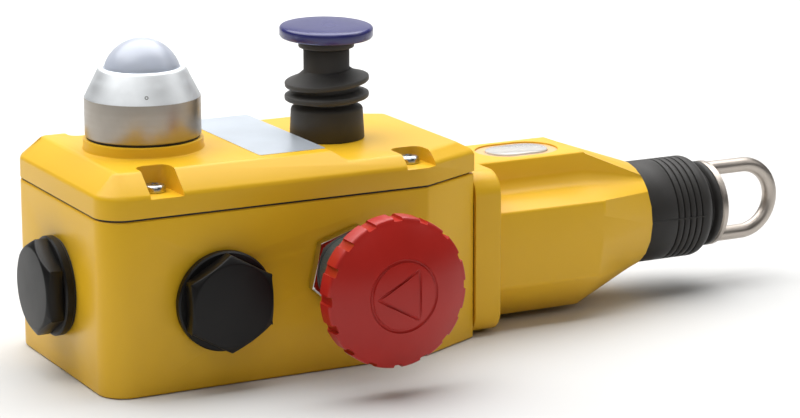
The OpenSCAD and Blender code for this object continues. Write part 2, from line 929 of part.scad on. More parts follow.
module stop_ring()
    color(black)
        on_front(stop_x, stop_wall + wall + stop_ring_t, stop_z)
            tube(stop_barrel_d / 2 + stop_ring_w, stop_barrel_d / 2, stop_ring_t);

module stop_contact()
    color("#D8D3C4")
        difference() {
            translate([stop_x - stop_contact_w / 2, stop_in_y, stop_z - stop_contact_h / 2])
                cube([stop_contact_w, stop_contact_l, stop_contact_h]);
            on_front(stop_x, stop_in_y + stop_run, stop_z)
                cylinder(r = stop_tip_r + gap, h = stop_run + e);
        }

module stop_spring()
    color(steel)
        on_front(stop_x, stop_in_y - stop_web - 0.1, stop_z)
            coil(stop_tip_r + 1.6, 1.2, stop_in_y - stop_web - stop_shoulder_y - 1.7, 4);

module stop_stem()
    color(boot_grey)
        on_front(stop_x, stop_tip_y, stop_z) {
            cylinder(r = stop_tip_r, h = stop_tip_y - stop_shoulder_y - stop_shoulder_t + e);
            translate([0, 0, stop_tip_y - stop_shoulder_y - stop_shoulder_t])
                cylinder(r = stop_shoulder_r, h = stop_shoulder_t);
            translate([0, 0, stop_tip_y - stop_shoulder_y - e])
                cylinder(d = stop_stem_d, h = stop_shoulder_y - stop_back_y + e);
            translate([0, 0, stop_tip_y - stop_back_y - e])
                cylinder(r = stop_pivot_r, h = stop_pivot_l);
        }

// Mushroom head: a notched rim, a shallow dome and a hollow back round the hub.
module stop_head() {
    r = stop_head_d / 2;
    h = stop_head_h;
    dome = 3;
    face_r = r - 1.5;
    dome_r = (face_r * face_r + dome * dome) / (2 * dome);
    hub_r = stop_stem_d / 2 + 2.4;
    back_depth = 3.4;
    color(red)
        on_front(stop_x, stop_back_y - gap, stop_z)
            difference() {
                rotate_extrude()
                    difference() {
                        union() {
                            polygon([
                                [0, 0], [r - 2, 0], [r - 0.3, 0.8], [r, 1.8], [r, h - dome - 1.6],
                                [r - 0.5, h - dome - 0.5], [face_r, h - dome + e], [0, h - dome + e]
                            ]);
                            intersection() {
                                translate([0, h - dome_r])
                                    circle(dome_r, $fn = 160);
                                translate([0, h - dome])
                                    square([face_r, dome]);
                            }
                        }
                        translate([hub_r, -e])
                            square([r - 4 - hub_r, back_depth]);
                    }
                translate([0, 0, -e])
                    cylinder(r = stop_pivot_r + slip, h = stop_pivot_l + gap);
                for (k = [0:stop_notches - 1])
                    rotate(360 / stop_notches * k)
                        translate([r + 0.5, 0, -e])
                            cylinder(r = 1.1, h = 4, $fn = 24);
            }
}

// ---- neck ----

module neck_gasket()
    color(black)
        translate([half_l, 0, 0])
            rotate([90, 0, 90])
                linear_extrude(neck_gasket_t)
                    difference() {
                        flange_outline(gasket_in);
                        translate([0, axis_z])
                            circle(bush_r);
                        for (sy = [-1, 1], sz = [-1, 1])
                            translate([sy * neck_screw_y, axis_z + sz * neck_screw_z])
                                circle(neck_screw_d / 2 + gap);
                    }

// Outline of the flange, moved inwards by d.
module flange_outline(d = 0) {
    y = flange_w / 2 - d;
    z0 = flange_bottom + d;
    z1 = neck_top - d;
    r0 = flange_low_r - d;
    r1 = flange_r - d;
    polygon([
        [r0 - y, z0], [y - r0, z0], [y, z0 + r0], [y, z1 - r1], [y - r1, z1], [r1 - y, z1], [-y, z1 - r1], [-y, z0 + r0]
    ]);
    for (s = [-1, 1]) {
        translate([s * (y - r0), z0 + r0])
            circle(r0);
        translate([s * (y - r1), z1 - r1])
            circle(r1);
    }
}

// Half outline of the neck, from the keel to the ridge's top: across, up from the axis, and the
// bearing on the round nose that each corner runs to.
neck_half = [
    [0, neck_bottom - axis_z, -90],
    [keel_w / 2, neck_bottom - axis_z, -68],
    [neck_w / 2, keel_z - axis_z, -56],
    [neck_w / 2, shelf_z - axis_z, 38],
    for (a = [0:37.5:75])
        [
            ridge_w / 2 + ridge_fillet * (1 - sin(a)), ridge_foot_z + ridge_fillet * (1 - cos(a)) - axis_z,
            46 + a / 15
        ],
    [ridge_w / 2, neck_top - axis_z, 57],
    [0, neck_top - axis_z, 90]
];

// Points from a to the point before b, one for each step of bearing.
function steps(a, b) =
    let (n = max(1, ceil((b[2] - a[2]) / bearing_step)))
        [for (k = [0:n - 1]) a + (b - a) * k / n];

neck_right = [for (i = [0:len(neck_half) - 2]) each steps(neck_half[i], neck_half[i + 1])];
neck_loop = [
    each neck_right,
    for (i = [0:len(neck_right) - 1])
        let (q = i == 0 ? neck_half[len(neck_half) - 1] : neck_right[len(neck_right) - i])
            [-q[0], q[1], 180 - q[2]]
];

// Body of the neck: a plain length, then a taper in which every corner runs to the round nose.
module neck_body() {
    n = len(neck_loop);
    start = nose_x - taper_l;
    rings = [
        for (q = neck_loop) [flange_x, q[0], axis_z + q[1]],
        for (q = neck_loop) [start + taper_lean * q[1], q[0], axis_z + q[1]],
        for (q = neck_loop) [nose_x, nose_d / 2 * cos(q[2]), axis_z + nose_d / 2 * sin(q[2])]
    ];
    polyhedron(rings, [
        [for (i = [0:n - 1]) i],
        for (r = [0, 1], i = [0:n - 1])
            let (j = (i + 1) % n)
                each [
                    [r * n + i, (r + 1) * n + j, r * n + j],
                    [r * n + i, (r + 1) * n + i, (r + 1) * n + j]
                ],
        [for (i = [0:n - 1]) 3 * n - 1 - i]
    ]);
}

module stadium(l, w) {
    square([l - w, w], center = true);
    for (s = [-1, 1])
        translate([s * (l - w) / 2, 0])
            circle(w / 2);
}

module neck_housing()
    color(yellow)
        difference() {
            union() {
                translate([flange_x, 0, 0])
                    rotate([90, 0, 90])
                        linear_extrude(flange_t)
                            flange_outline();
                neck_body();
                on_axis(nose_x - e)
                    cylinder(r = spigot_r, h = spigot_l + e);
            }
            on_axis(flange_x - e)
                cylinder(d = chamber_d, h = chamber_end_x - flange_x + e);
            on_axis(chamber_end_x - e)
                cylinder(r = bush_r, h = nose_wall + spigot_l + 1);
            translate([window_cx, 0, axis_z])
                linear_extrude(neck_top)
                    stadium(window_l - 2 * window_ledge, window_w - 2 * window_ledge);
            translate([window_cx, 0, lens_z - seal_t])
                linear_extrude(neck_top)
                    stadium(window_l, window_w);
            each_neck_screw()
                translate([flange_x - e, 0, 0])
                    rotate([0, 90, 0])
                        cylinder(r = neck_screw_d / 2 + slip, h = flange_t - 1.5);
        }

module neck_screws()
    color(zinc)
        each_neck_screw()
            translate([half_l - wall, 0, 0])
                rotate([0, -90, 0])
                    pan_screw(neck_screw_d, 7, 2.5, wall + neck_gasket_t + flange_t - 2);

module window_seal()
    color(black)
        translate([window_cx, 0, lens_z - seal_t])
            linear_extrude(seal_t)
                difference() {
                    stadium(window_l - 0.4, window_w - 0.4);
                    stadium(window_l - 2 * window_ledge, window_w - 2 * window_ledge);
                }

module window_lens()
    color(clear)
        translate([window_cx, 0, lens_z])
            linear_extrude(lens_t)
                stadium(window_l - 0.2, window_w - 0.2);

module inner_bush()
    color(brass)
        on_axis(half_l - wall)
            tube(bush_r, shaft_d / 2 + slip, wall + neck_gasket_t);

module nose_bush()
    color(brass)
        on_axis(chamber_end_x)
            tube(bush_r, shaft_d / 2 + slip, nose_wall + spigot_l);

// ---- rope shaft ----

module main_spring()
    color(steel)
        on_axis(cup_x + seat_t + 0.05)
            coil(cup_r - cup_wall - spring_wire / 2 - 0.4, spring_wire, chamber_end_x - cup_x - seat_t - 0.15, spring_turns);

module pull_shaft()
    color(steel)
        on_axis(cam_head_x0 - cam_nut_t)
            cylinder(d = shaft_d, h = disc_x - cam_head_x0 + cam_nut_t);

// Eye: a disc on the shaft's end and a bent rod whose legs run flush with the disc's edge.
module rope_eye() {
    leg_z = (eye_disc_d - eye_rod_d) / 2 - 0.2;
    leg_l = eye_reach - leg_z - eye_rod_d / 2;
    color(steel)
        union() {
            on_axis(disc_x)
                cylinder(d = eye_disc_d, h = eye_disc_t);
            for (s = [-1, 1])
                translate([0, 0, s * leg_z])
                    on_axis(eye_x - 1)
                        cylinder(d = eye_rod_d, h = leg_l + 1);
            translate([eye_x + leg_l, 0, axis_z])
                rotate([90, 0, 0])
                    rotate([0, 0, -90])
                        rotate_extrude(angle = 180)
                            translate([leg_z, 0])
                                circle(d = eye_rod_d, $fn = 32);
        }
}

// Cup on the shaft: the spring's seat, with a sleeve that carries the tension marks.
module spring_cup()
    color("#E8E6E0")
        on_axis(cup_x) {
            tube(cup_r, shaft_d / 2, seat_t);
            translate([0, 0, seat_t - e])
                tube(cup_r, cup_r - cup_wall, cup_l - seat_t);
        }

module tension_marks()
    color("#2E8B57")
        for (k = [-1, 0, 1])
            on_axis(window_cx - pull_travel / 2 + k * 2 * mark_w)
                tube(cup_r + mark_t, cup_r, mark_w);

// Cam slider: a wide ramped head that lifts the plungers, and a narrow tail under the latch.
module cam_slider()
    color("#D8D3C4")
        difference() {
            union() {
                on_front(0, cam_head_w / 2, 0)
                    linear_extrude(cam_head_w)
                        polygon([
                            [cam_head_x0, axis_z - cam_half_h], [cam_head_x1, axis_z - cam_half_h],
                            [cam_head_x1, cam_top - cam_rise * (cam_head_x1 - contact_x)],
                            [cam_head_x0, cam_top - cam_rise * (cam_head_x0 - contact_x)]
                        ]);
                translate([cam_head_x1 - e, -cam_w / 2, axis_z - cam_tail_h / 2])
                    cube([cam_end_x - cam_head_x1, cam_w, cam_tail_h]);
            }
            on_axis(cam_head_x0 - 1)
                cylinder(d = shaft_d, h = cam_end_x - cam_head_x0 + 2);
        }

module cam_nut()
    color(zinc)
        on_axis(cam_head_x0 - cam_nut_t)
            difference() {
                hexagon(cam_nut_af, cam_nut_t);
                translate([0, 0, -e])
                    cylinder(d = shaft_d, h = cam_nut_t + 2 * e);
            }

// Bellows boot: a plain sleeve over the spigot, fine ridges and a rounded end on the shaft.
module shaft_boot() {
    r = boot_d / 2;
    sleeve = boot_l - boot_ribs * boot_pitch - 7.2;
    end_r = eye_disc_d / 2;
    color(black)
        on_axis(nose_x)
            difference() {
                rotate_extrude()
                    difference() {
                        union() {
                            square([r, sleeve + boot_ribs * boot_pitch]);
                            translate([0, sleeve + boot_ribs * boot_pitch - e])
                                polygon([[0, 0], [r, 0], [r - 0.6, 1.6], [r - 2, 2.8], [end_r - 0.6, 4],
                                    [end_r - 0.6, 5.2], [end_r, 5.6], [end_r, 7.2], [0, 7.2]]);
                        }
                        for (k = [0:boot_ribs - 1])
                            translate([r, sleeve + boot_pitch * (k + 0.5)])
                                circle(0.7, $fn = 24);
                    }
                translate([0, 0, -e])
                    cylinder(r = spigot_r + slip, h = spigot_l + 1);
                translate([0, 0, spigot_l + 1 - 2 * e])
                    cylinder(r = r - 2.4, h = boot_l - spigot_l - 9);
                translate([0, 0, boot_l - 8 - 3 * e])
                    cylinder(r1 = r - 2.4, r2 = shaft_d / 2 + 2, h = 5);
                translate([0, 0, boot_l - 4])
                    cylinder(r = shaft_d / 2 + slip, h = 5);
            }
}

// ---- contacts and terminals ----

module each_bracket_screw()
    for (sx = [-1, 1], sy = [-1, 1])
        translate([contact_x + sx * contact_l / 4, sy * (bracket_w / 2 - bracket_foot / 2 - 0.5), 0])
            children();

// Folded bracket that bridges the cam slider and carries the contact blocks.
module contact_bracket()
    color(zinc)
        difference() {
            translate([contact_x - contact_l / 2, 0, 0])
                rotate([90, 0, 90])
                    linear_extrude(contact_l)
                        for (s = [0, 1])
                            mirror([s, 0]) {
                                translate([0, bracket_z])
                                    square([bracket_w / 2, bracket_t]);
                                translate([bracket_w / 2 - bracket_t, floor_t])
                                    square([bracket_t, bracket_z + bracket_t - floor_t]);
                                translate([bracket_w / 2 - bracket_foot, floor_t])
                                    square([bracket_foot, bracket_t]);
                            }
            each_bracket_screw()
                cylinder(r = bracket_screw_d / 2 + 0.2, h = floor_t + 2 * bracket_t);
            for (s = [-1, 1])
                translate([contact_x, s * contact_y, bracket_z - 1])
                    cylinder(r = plunger_r + 0.6, h = bracket_t + 2);
        }

module bracket_screws()
    color(zinc)
        each_bracket_screw()
            translate([0, 0, floor_t + bracket_t])
                pan_screw(bracket_screw_d, 5.4, 2, bracket_t + bracket_screw_l - 0.3);

// Contact block with the bore that guides its plunger.
module contact_block(s)
    color("#3A4A57")
        difference() {
            translate([contact_x - contact_l / 2, s * contact_y - contact_w / 2, bracket_z + bracket_t])
                cube([contact_l, contact_w, contact_h]);
            translate([contact_x, s * contact_y, bracket_z + bracket_t - e])
                cylinder(r = plunger_r + slip, h = plunger_l);
            for (sx = [-1, 1])
                translate([contact_x + sx * contact_step_x, s * contact_y, contact_step_z + contact_h / 2])
                    cube([contact_step, contact_w + 2 * e, contact_h], center = true);
        }

module contact_block_front()
    contact_block(-1);

module contact_block_rear()
    contact_block(1);

module contact_screws()
    color(zinc)
        for (s = [-1, 1], sx = [-1, 1], k = [-1, 1])
            translate([contact_x + sx * contact_step_x, s * contact_y + k * contact_w / 4, contact_step_z])
                cylinder(r = 1.9, h = 2);

module plunger(s)
    color("#C44A2E")
        translate([contact_x, s * contact_y, plunger_z]) {
            sphere(r = plunger_r);
            cylinder(r = plunger_r, h = plunger_l - 3.5);
        }

module plunger_front()
    plunger(-1);

module plunger_rear()
    plunger(1);

// Terminal block with a wall between each pair of ways.
module terminal_block()
    color("#D8D3C4")
        difference() {
            translate([terminal_x, -terminal_w / 2, floor_t])
                cube([terminal_l, terminal_w, terminal_h]);
            for (k = [0:terminal_ways - 1], s = [0, 1])
                translate([
                    terminal_x + s * terminal_l / 2 + 1,
                    -terminal_w / 2 + (k + 0.5) * terminal_w / terminal_ways - 3,
                    floor_t + terminal_h - 4
                ])
                    cube([terminal_l / 2 - 2, 6, 5]);
        }

module terminal_screws()
    color(zinc)
        for (k = [0:terminal_ways - 1], s = [0, 1])
            translate([
                terminal_x + s * terminal_l / 2 + terminal_l / 4,
                -terminal_w / 2 + (k + 0.5) * terminal_w / terminal_ways,
                floor_t + terminal_h - 4
            ])
                cylinder(r = 2, h = 2);

module earth_screw()
    color(brass)
        translate([earth_x, earth_y, floor_t + earth_boss_h])
            pan_screw(earth_d, 7, 2.6, earth_l - 0.5);

// ---- assembly ----

housing_base();
lid_gasket();
housing_lid();
lid_screws();
plug_front();
plug_end();
plug_rear();
plug_seals();
beacon_seal();
beacon_collar();
beacon_dome();
beacon_board();
beacon_leds();
beacon_nut();
reset_bush();
reset_nut();
reset_boot();
reset_spring();
reset_stem();
reset_latch();
reset_collar();
reset_cap();
stop_seal();
stop_nut();
stop_barrel();
stop_ring();
stop_contact();
stop_spring();
stop_stem();
stop_head();
neck_gasket();
neck_housing();
neck_screws();
window_seal();
window_lens();
inner_bush();
nose_bush();
main_spring();
shaft_boot();
pull_shaft();
rope_eye();
spring_cup();
tension_marks();
cam_slider();
cam_nut();
contact_bracket();
bracket_screws();
contact_block_front();
contact_block_rear();
contact_screws();
plunger_front();
plunger_rear();
terminal_block();
terminal_screws();
earth_screw();
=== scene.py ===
"""Looks of a rope pull switch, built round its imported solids.

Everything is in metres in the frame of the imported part; the sizes below are in millimetres.
Each sub-assembly is a class that holds its sizes, models its pieces and gives them their finishes.
"""

import json
import logging
import math
from collections.abc import Callable, Iterator, Sequence
from contextlib import contextmanager
from dataclasses import dataclass
from enum import Enum

import bmesh
import bpy
from mathutils import Matrix, Vector

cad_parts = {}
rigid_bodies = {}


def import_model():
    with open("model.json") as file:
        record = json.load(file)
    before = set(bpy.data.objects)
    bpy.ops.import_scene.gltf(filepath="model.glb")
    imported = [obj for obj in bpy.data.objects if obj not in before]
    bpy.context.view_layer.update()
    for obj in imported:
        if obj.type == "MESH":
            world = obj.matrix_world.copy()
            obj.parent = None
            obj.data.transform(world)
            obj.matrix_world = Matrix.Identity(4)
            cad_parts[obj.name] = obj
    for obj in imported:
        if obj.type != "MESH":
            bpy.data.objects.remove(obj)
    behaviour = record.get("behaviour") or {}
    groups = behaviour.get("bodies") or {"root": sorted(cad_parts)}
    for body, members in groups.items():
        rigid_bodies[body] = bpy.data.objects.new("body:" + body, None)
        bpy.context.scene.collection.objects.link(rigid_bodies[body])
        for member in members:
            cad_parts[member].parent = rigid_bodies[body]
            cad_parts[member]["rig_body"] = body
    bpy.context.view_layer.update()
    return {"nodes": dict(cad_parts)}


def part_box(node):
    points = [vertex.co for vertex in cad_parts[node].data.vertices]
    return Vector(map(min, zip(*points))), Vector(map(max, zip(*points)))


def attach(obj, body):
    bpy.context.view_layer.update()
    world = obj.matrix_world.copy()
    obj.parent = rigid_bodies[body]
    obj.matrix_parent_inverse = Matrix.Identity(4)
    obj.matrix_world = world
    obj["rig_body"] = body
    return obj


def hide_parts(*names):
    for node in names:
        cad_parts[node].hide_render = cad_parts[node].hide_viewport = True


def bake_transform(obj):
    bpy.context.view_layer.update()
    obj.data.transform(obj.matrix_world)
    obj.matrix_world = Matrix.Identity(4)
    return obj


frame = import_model()
log = logging.getLogger("rope_pull_switch")

# How far the shell and the lid reach past their packed end, and the seam that the pressed gasket leaves, in mm.
END_OUT = 1.15
SEAM = 0.2
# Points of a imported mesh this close, in mm, are one, and faces this near to flat, in degrees, are one.
CAD_MERGE = 0.004
CAD_FLAT = 0.6
Ring = tuple[float, float]
Socket = bpy.types.NodeSocket
Tree = bpy.types.NodeTree
Thing = bpy.types.Object
Test = Callable[[object], bool]


class Way(Enum):
    """Which way a piece that is modelled along +Z points once it is in place."""

    UP = (0, 0, 0)
    ROPE = (0, 90, 0)
    FRONT = (90, 0, 0)
    END = (90, 0, -90)
    REAR = (90, 0, 180)

    def turn(self) -> Matrix:
        """Rotation that takes +Z to this direction."""
        x, y, z = (math.radians(angle) for angle in self.value)
        return Matrix.Rotation(z, 4, "Z") @ Matrix.Rotation(y, 4, "Y") @ Matrix.Rotation(x, 4, "X")


class Kind(Enum):
    """What an edit picks: the name is the mode's, and the value is where a mesh keeps them."""

    VERT = "verts"
    EDGE = "edges"
    FACE = "faces"


class Boolean(Enum):
    """What a tool does to a piece."""

    AWAY = "DIFFERENCE"
    ON = "UNION"
    COMMON = "INTERSECT"


class Solver(Enum):
    """How a boolean is worked out; MANIFOLD also copes with rounds that cross each other."""

    EXACT = "EXACT"
    MANIFOLD = "MANIFOLD"


class Body(Enum):
    """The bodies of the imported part."""

    HOUSING = "housing"
    PULL = "pull"
    CONTACT_FRONT = "contact_front"
    CONTACT_REAR = "contact_rear"
    STOP_STEM = "stop_stem"
    STOP_HEAD = "stop_head"
    RESET = "reset"


class Slot(Enum):
    """The record's material slots, passed along with the new pieces."""

    DIE_CAST = "die_cast"
    BLACK_NYLON = "black_nylon"
    SEAL_RUBBER = "seal_rubber"
    BOOT_RUBBER = "boot_rubber"
    SLEEVE_RUBBER = "sleeve_rubber"
    STAINLESS = "stainless"
    ZINC_STEEL = "zinc_steel"
    SPRING_STEEL = "spring_steel"
    COLLAR_ALU = "collar_alu"
    CHROME_NUT = "chrome_nut"
    BRONZE = "bronze"
    DOME = "dome"
    LENS = "lens"
    RED_PLASTIC = "red_plastic"
    BLUE_PLASTIC = "blue_plastic"
    GREY_PLASTIC = "grey_plastic"
    CUP_PLASTIC = "cup_plastic"
    SLIDER_PLASTIC = "slider_plastic"
    BLOCK_PLASTIC = "block_plastic"
    TERMINAL_PLASTIC = "terminal_plastic"
    PLUNGER_PLASTIC = "plunger_plastic"


def mm(value: float) -> float:
    """Millimetres as metres."""
    return value / 1000


def linear(colour: str, dark: float = 1.0) -> tuple[float, float, float, float]:
    """Turns an sRGB hex colour into linear light.

    Args:
        colour: a hash sign and six hex digits.
        dark: share of the light that is left.

    Returns:
        Red, green, blue and an alpha of one.
    """
    channels = [int(colour[i:i + 2], 16) / 255 for i in (1, 3, 5)]
    red, green, blue = (c / 12.92 if c <= 0.04045 else ((c + 0.055) / 1.055) ** 2.4 for c in channels)
    return red * dark, green * dark, blue * dark, 1.0


def add_node(
    tree: Tree,
    kind: str,
    values: dict[str, object] | None = None,
    wires: dict[str, Socket] | None = None,
    **settings: object,
) -> bpy.types.Node:
    """Adds a shader node with its settings and links.

    Args:
        tree: node tree that gets the node.
        kind: type of the node without its ShaderNode prefix.
        values: name of an input to its value.
        wires: name of an input to the output that feeds it.
        settings: properties of the node itself.

    Returns:
        The new node.
    """
    node = tree.nodes.new("ShaderNode" + kind)
    for key, value in settings.items():
        setattr(node, key, value)
    for key, value in (values or {}).items():
        node.inputs[key].default_value = value
    for key, socket in (wires or {}).items():
        tree.links.new(socket, node.inputs[key])
    return node


# ---- finishes ----


@dataclass(frozen=True)
class Finish:
    """A finish with a wandering tone, uneven gloss and a fine grain; the others build on it.

    dark is the share of light left in the darker patches, patch_mm their size, grain_mm the size of the
    surface's bumps and grain_um their height in thousandths of a millimetre.
    """

    name: str
    colour: str
    roughness: float
    ior: float = 1.5
    metallic: float = 0.0
    coat: float = 0.0
    coat_roughness: float = 0.1
    specular: float = 0.5
    dark: float = 0.88
    patch_mm: float = 9.0
    grain_mm: float = 0.5
    grain_um: float = 6.0

    def material(self) -> bpy.types.Material:
        """Material of this finish, made once and then shared.

        Returns:
            The material.
        """
        made = bpy.data.materials.get(self.name)
        if made:
            return made
        made = bpy.data.materials.new(self.name)
        made.use_nodes = True
        made.diffuse_color = linear(self.colour)
        tree = made.node_tree
        tree.nodes.clear()
        place = add_node(tree, "TexCoord").outputs["Object"]
        shader = add_node(
            tree,
            "BsdfPrincipled",
            {
                "Metallic": self.metallic,
                "IOR": self.ior,
                "Coat Weight": self.coat,
                "Coat Roughness": self.coat_roughness,
                "Specular IOR Level": self.specular,
                **self.sockets(),
            },
            {
                "Base Color": self.shade(tree, place),
                "Roughness": self.gloss(tree, place),
                "Normal": self.relief(tree, place),
            },
        )
        add_node(tree, "OutputMaterial", None, {"Surface": shader.outputs["BSDF"]})
        return made

    def sockets(self) -> dict[str, object]:
        """Shader values of one kind of finish alone."""
        return {}

    def noise(self, tree: Tree, place: Socket, size_mm: float, detail: float = 3.0) -> Socket:
        """Noise whose blotches have a real size."""
        values = {"Scale": 1000 / size_mm, "Detail": detail}
        return add_node(tree, "TexNoise", values, {"Vector": place}).outputs["Fac"]

    def ramp(self, tree: Tree, factor: Socket, low: float, high: float, dark: float) -> Socket:
        """Colour that runs from a darker shade to the finish's own.

        Args:
            tree: node tree of the material.
            factor: what drives the ramp.
            low: where the dark end sits.
            high: where the light end sits.
            dark: share of light left at the dark end.

        Returns:
            The colour.
        """
        node = add_node(tree, "ValToRGB", None, {"Fac": factor})
        start, end = node.color_ramp.elements
        start.position, end.position = low, high
        start.color, end.color = linear(self.colour, dark), linear(self.colour)
        return node.outputs["Color"]

    def shade(self, tree: Tree, place: Socket) -> Socket:
        """Colour with patches of a darker tone."""
        return self.ramp(tree, self.noise(tree, place, self.patch_mm), 0.35, 0.62, self.dark)

    def gloss(self, tree: Tree, place: Socket) -> Socket:
        """Roughness that varies a little with handling.

        Args:
            tree: node tree of the material.
            place: coordinates of the surface.

        Returns:
            The roughness.
        """
        span = {"To Min": self.roughness * 0.8, "To Max": min(1.0, self.roughness * 1.2)}
        smears = self.noise(tree, place, 2 * self.patch_mm)
        return add_node(tree, "MapRange", span, {"Value": smears}).outputs["Result"]

    def relief(self, tree: Tree, place: Socket) -> Socket:
        """Normal of the fine bumps that the making leaves."""
        return self.bump(tree, self.noise(tree, place, self.grain_mm, 2.0), self.grain_um)

    def bump(self, tree: Tree, height: Socket, height_um: float) -> Socket:
        """Normal of a height field whose height is real."""
        values = {"Strength": 1.0, "Distance": mm(height_um / 1000)}
        return add_node(tree, "Bump", values, {"Height": height}).outputs["Normal"]


@dataclass(frozen=True)
class Turned(Finish):
    """Metal or plastic turned on a lathe: fine lines run round an axis."""

    centre: tuple[float, float, float] = (0.0, 0.0, 0.0)
    way: Way = Way.UP
    line_mm: float = 0.22
    line_um: float = 2.0

    def along(self, tree: Tree, place: Socket) -> Socket:
        """Coordinates that change along the axis and outwards, and not round it.

        Args:
            tree: node tree of the material.
            place: coordinates of the surface.

        Returns:
            The coordinates.
        """
        moved = add_node(
            tree, "VectorMath", {1: tuple(mm(c) for c in self.centre)}, {0: place}, operation="SUBTRACT"
        )
        back = self.way.turn().inverted().to_euler()
        turned = add_node(
            tree, "VectorRotate", {"Rotation": back}, {"Vector": moved.outputs["Vector"]}, rotation_type="EULER_XYZ"
        )
        parts = add_node(tree, "SeparateXYZ", None, {"Vector": turned.outputs["Vector"]})
        flat = add_node(tree, "CombineXYZ", None, {"X": parts.outputs["X"], "Y": parts.outputs["Y"]})
        out = add_node(tree, "VectorMath", None, {0: flat.outputs["Vector"]}, operation="LENGTH")
        joined = add_node(tree, "CombineXYZ", None, {"X": out.outputs["Value"], "Y": parts.outputs["Z"]})
        return joined.outputs["Vector"]

    def relief(self, tree: Tree, place: Socket) -> Socket:
        """Normal of the tool's lines."""
        lines = self.noise(tree, self.along(tree, place), self.line_mm, 2.0)
        return self.bump(tree, lines, self.line_um)

    def gloss(self, tree: Tree, place: Socket) -> Socket:
        """Roughness that changes from line to line.

        Args:
            tree: node tree of the material.
            place: coordinates of the surface.

        Returns:
            The roughness.
        """
        span = {"To Min": self.roughness * 0.8, "To Max": min(1.0, self.roughness * 1.2)}
        lines = self.noise(tree, self.along(tree, place), self.line_mm * 4, 1.0)
        return add_node(tree, "MapRange", span, {"Value": lines}).outputs["Result"]


@dataclass(frozen=True)
class Clear(Finish):
    """Clear or frosted plastic that lets light through."""

    through: float = 1.0

    def sockets(self) -> dict[str, object]:
        """Shader value for the light that passes."""
        return {"Transmission Weight": self.through}


@dataclass(frozen=True)
class Soft(Finish):
    """Rubber with a bloom of dust that lifts its shadows."""

    sheen: float = 0.15

    def sockets(self) -> dict[str, object]:
        """Shader values for the bloom."""
        return {"Sheen Weight": self.sheen, "Sheen Roughness": 0.5}


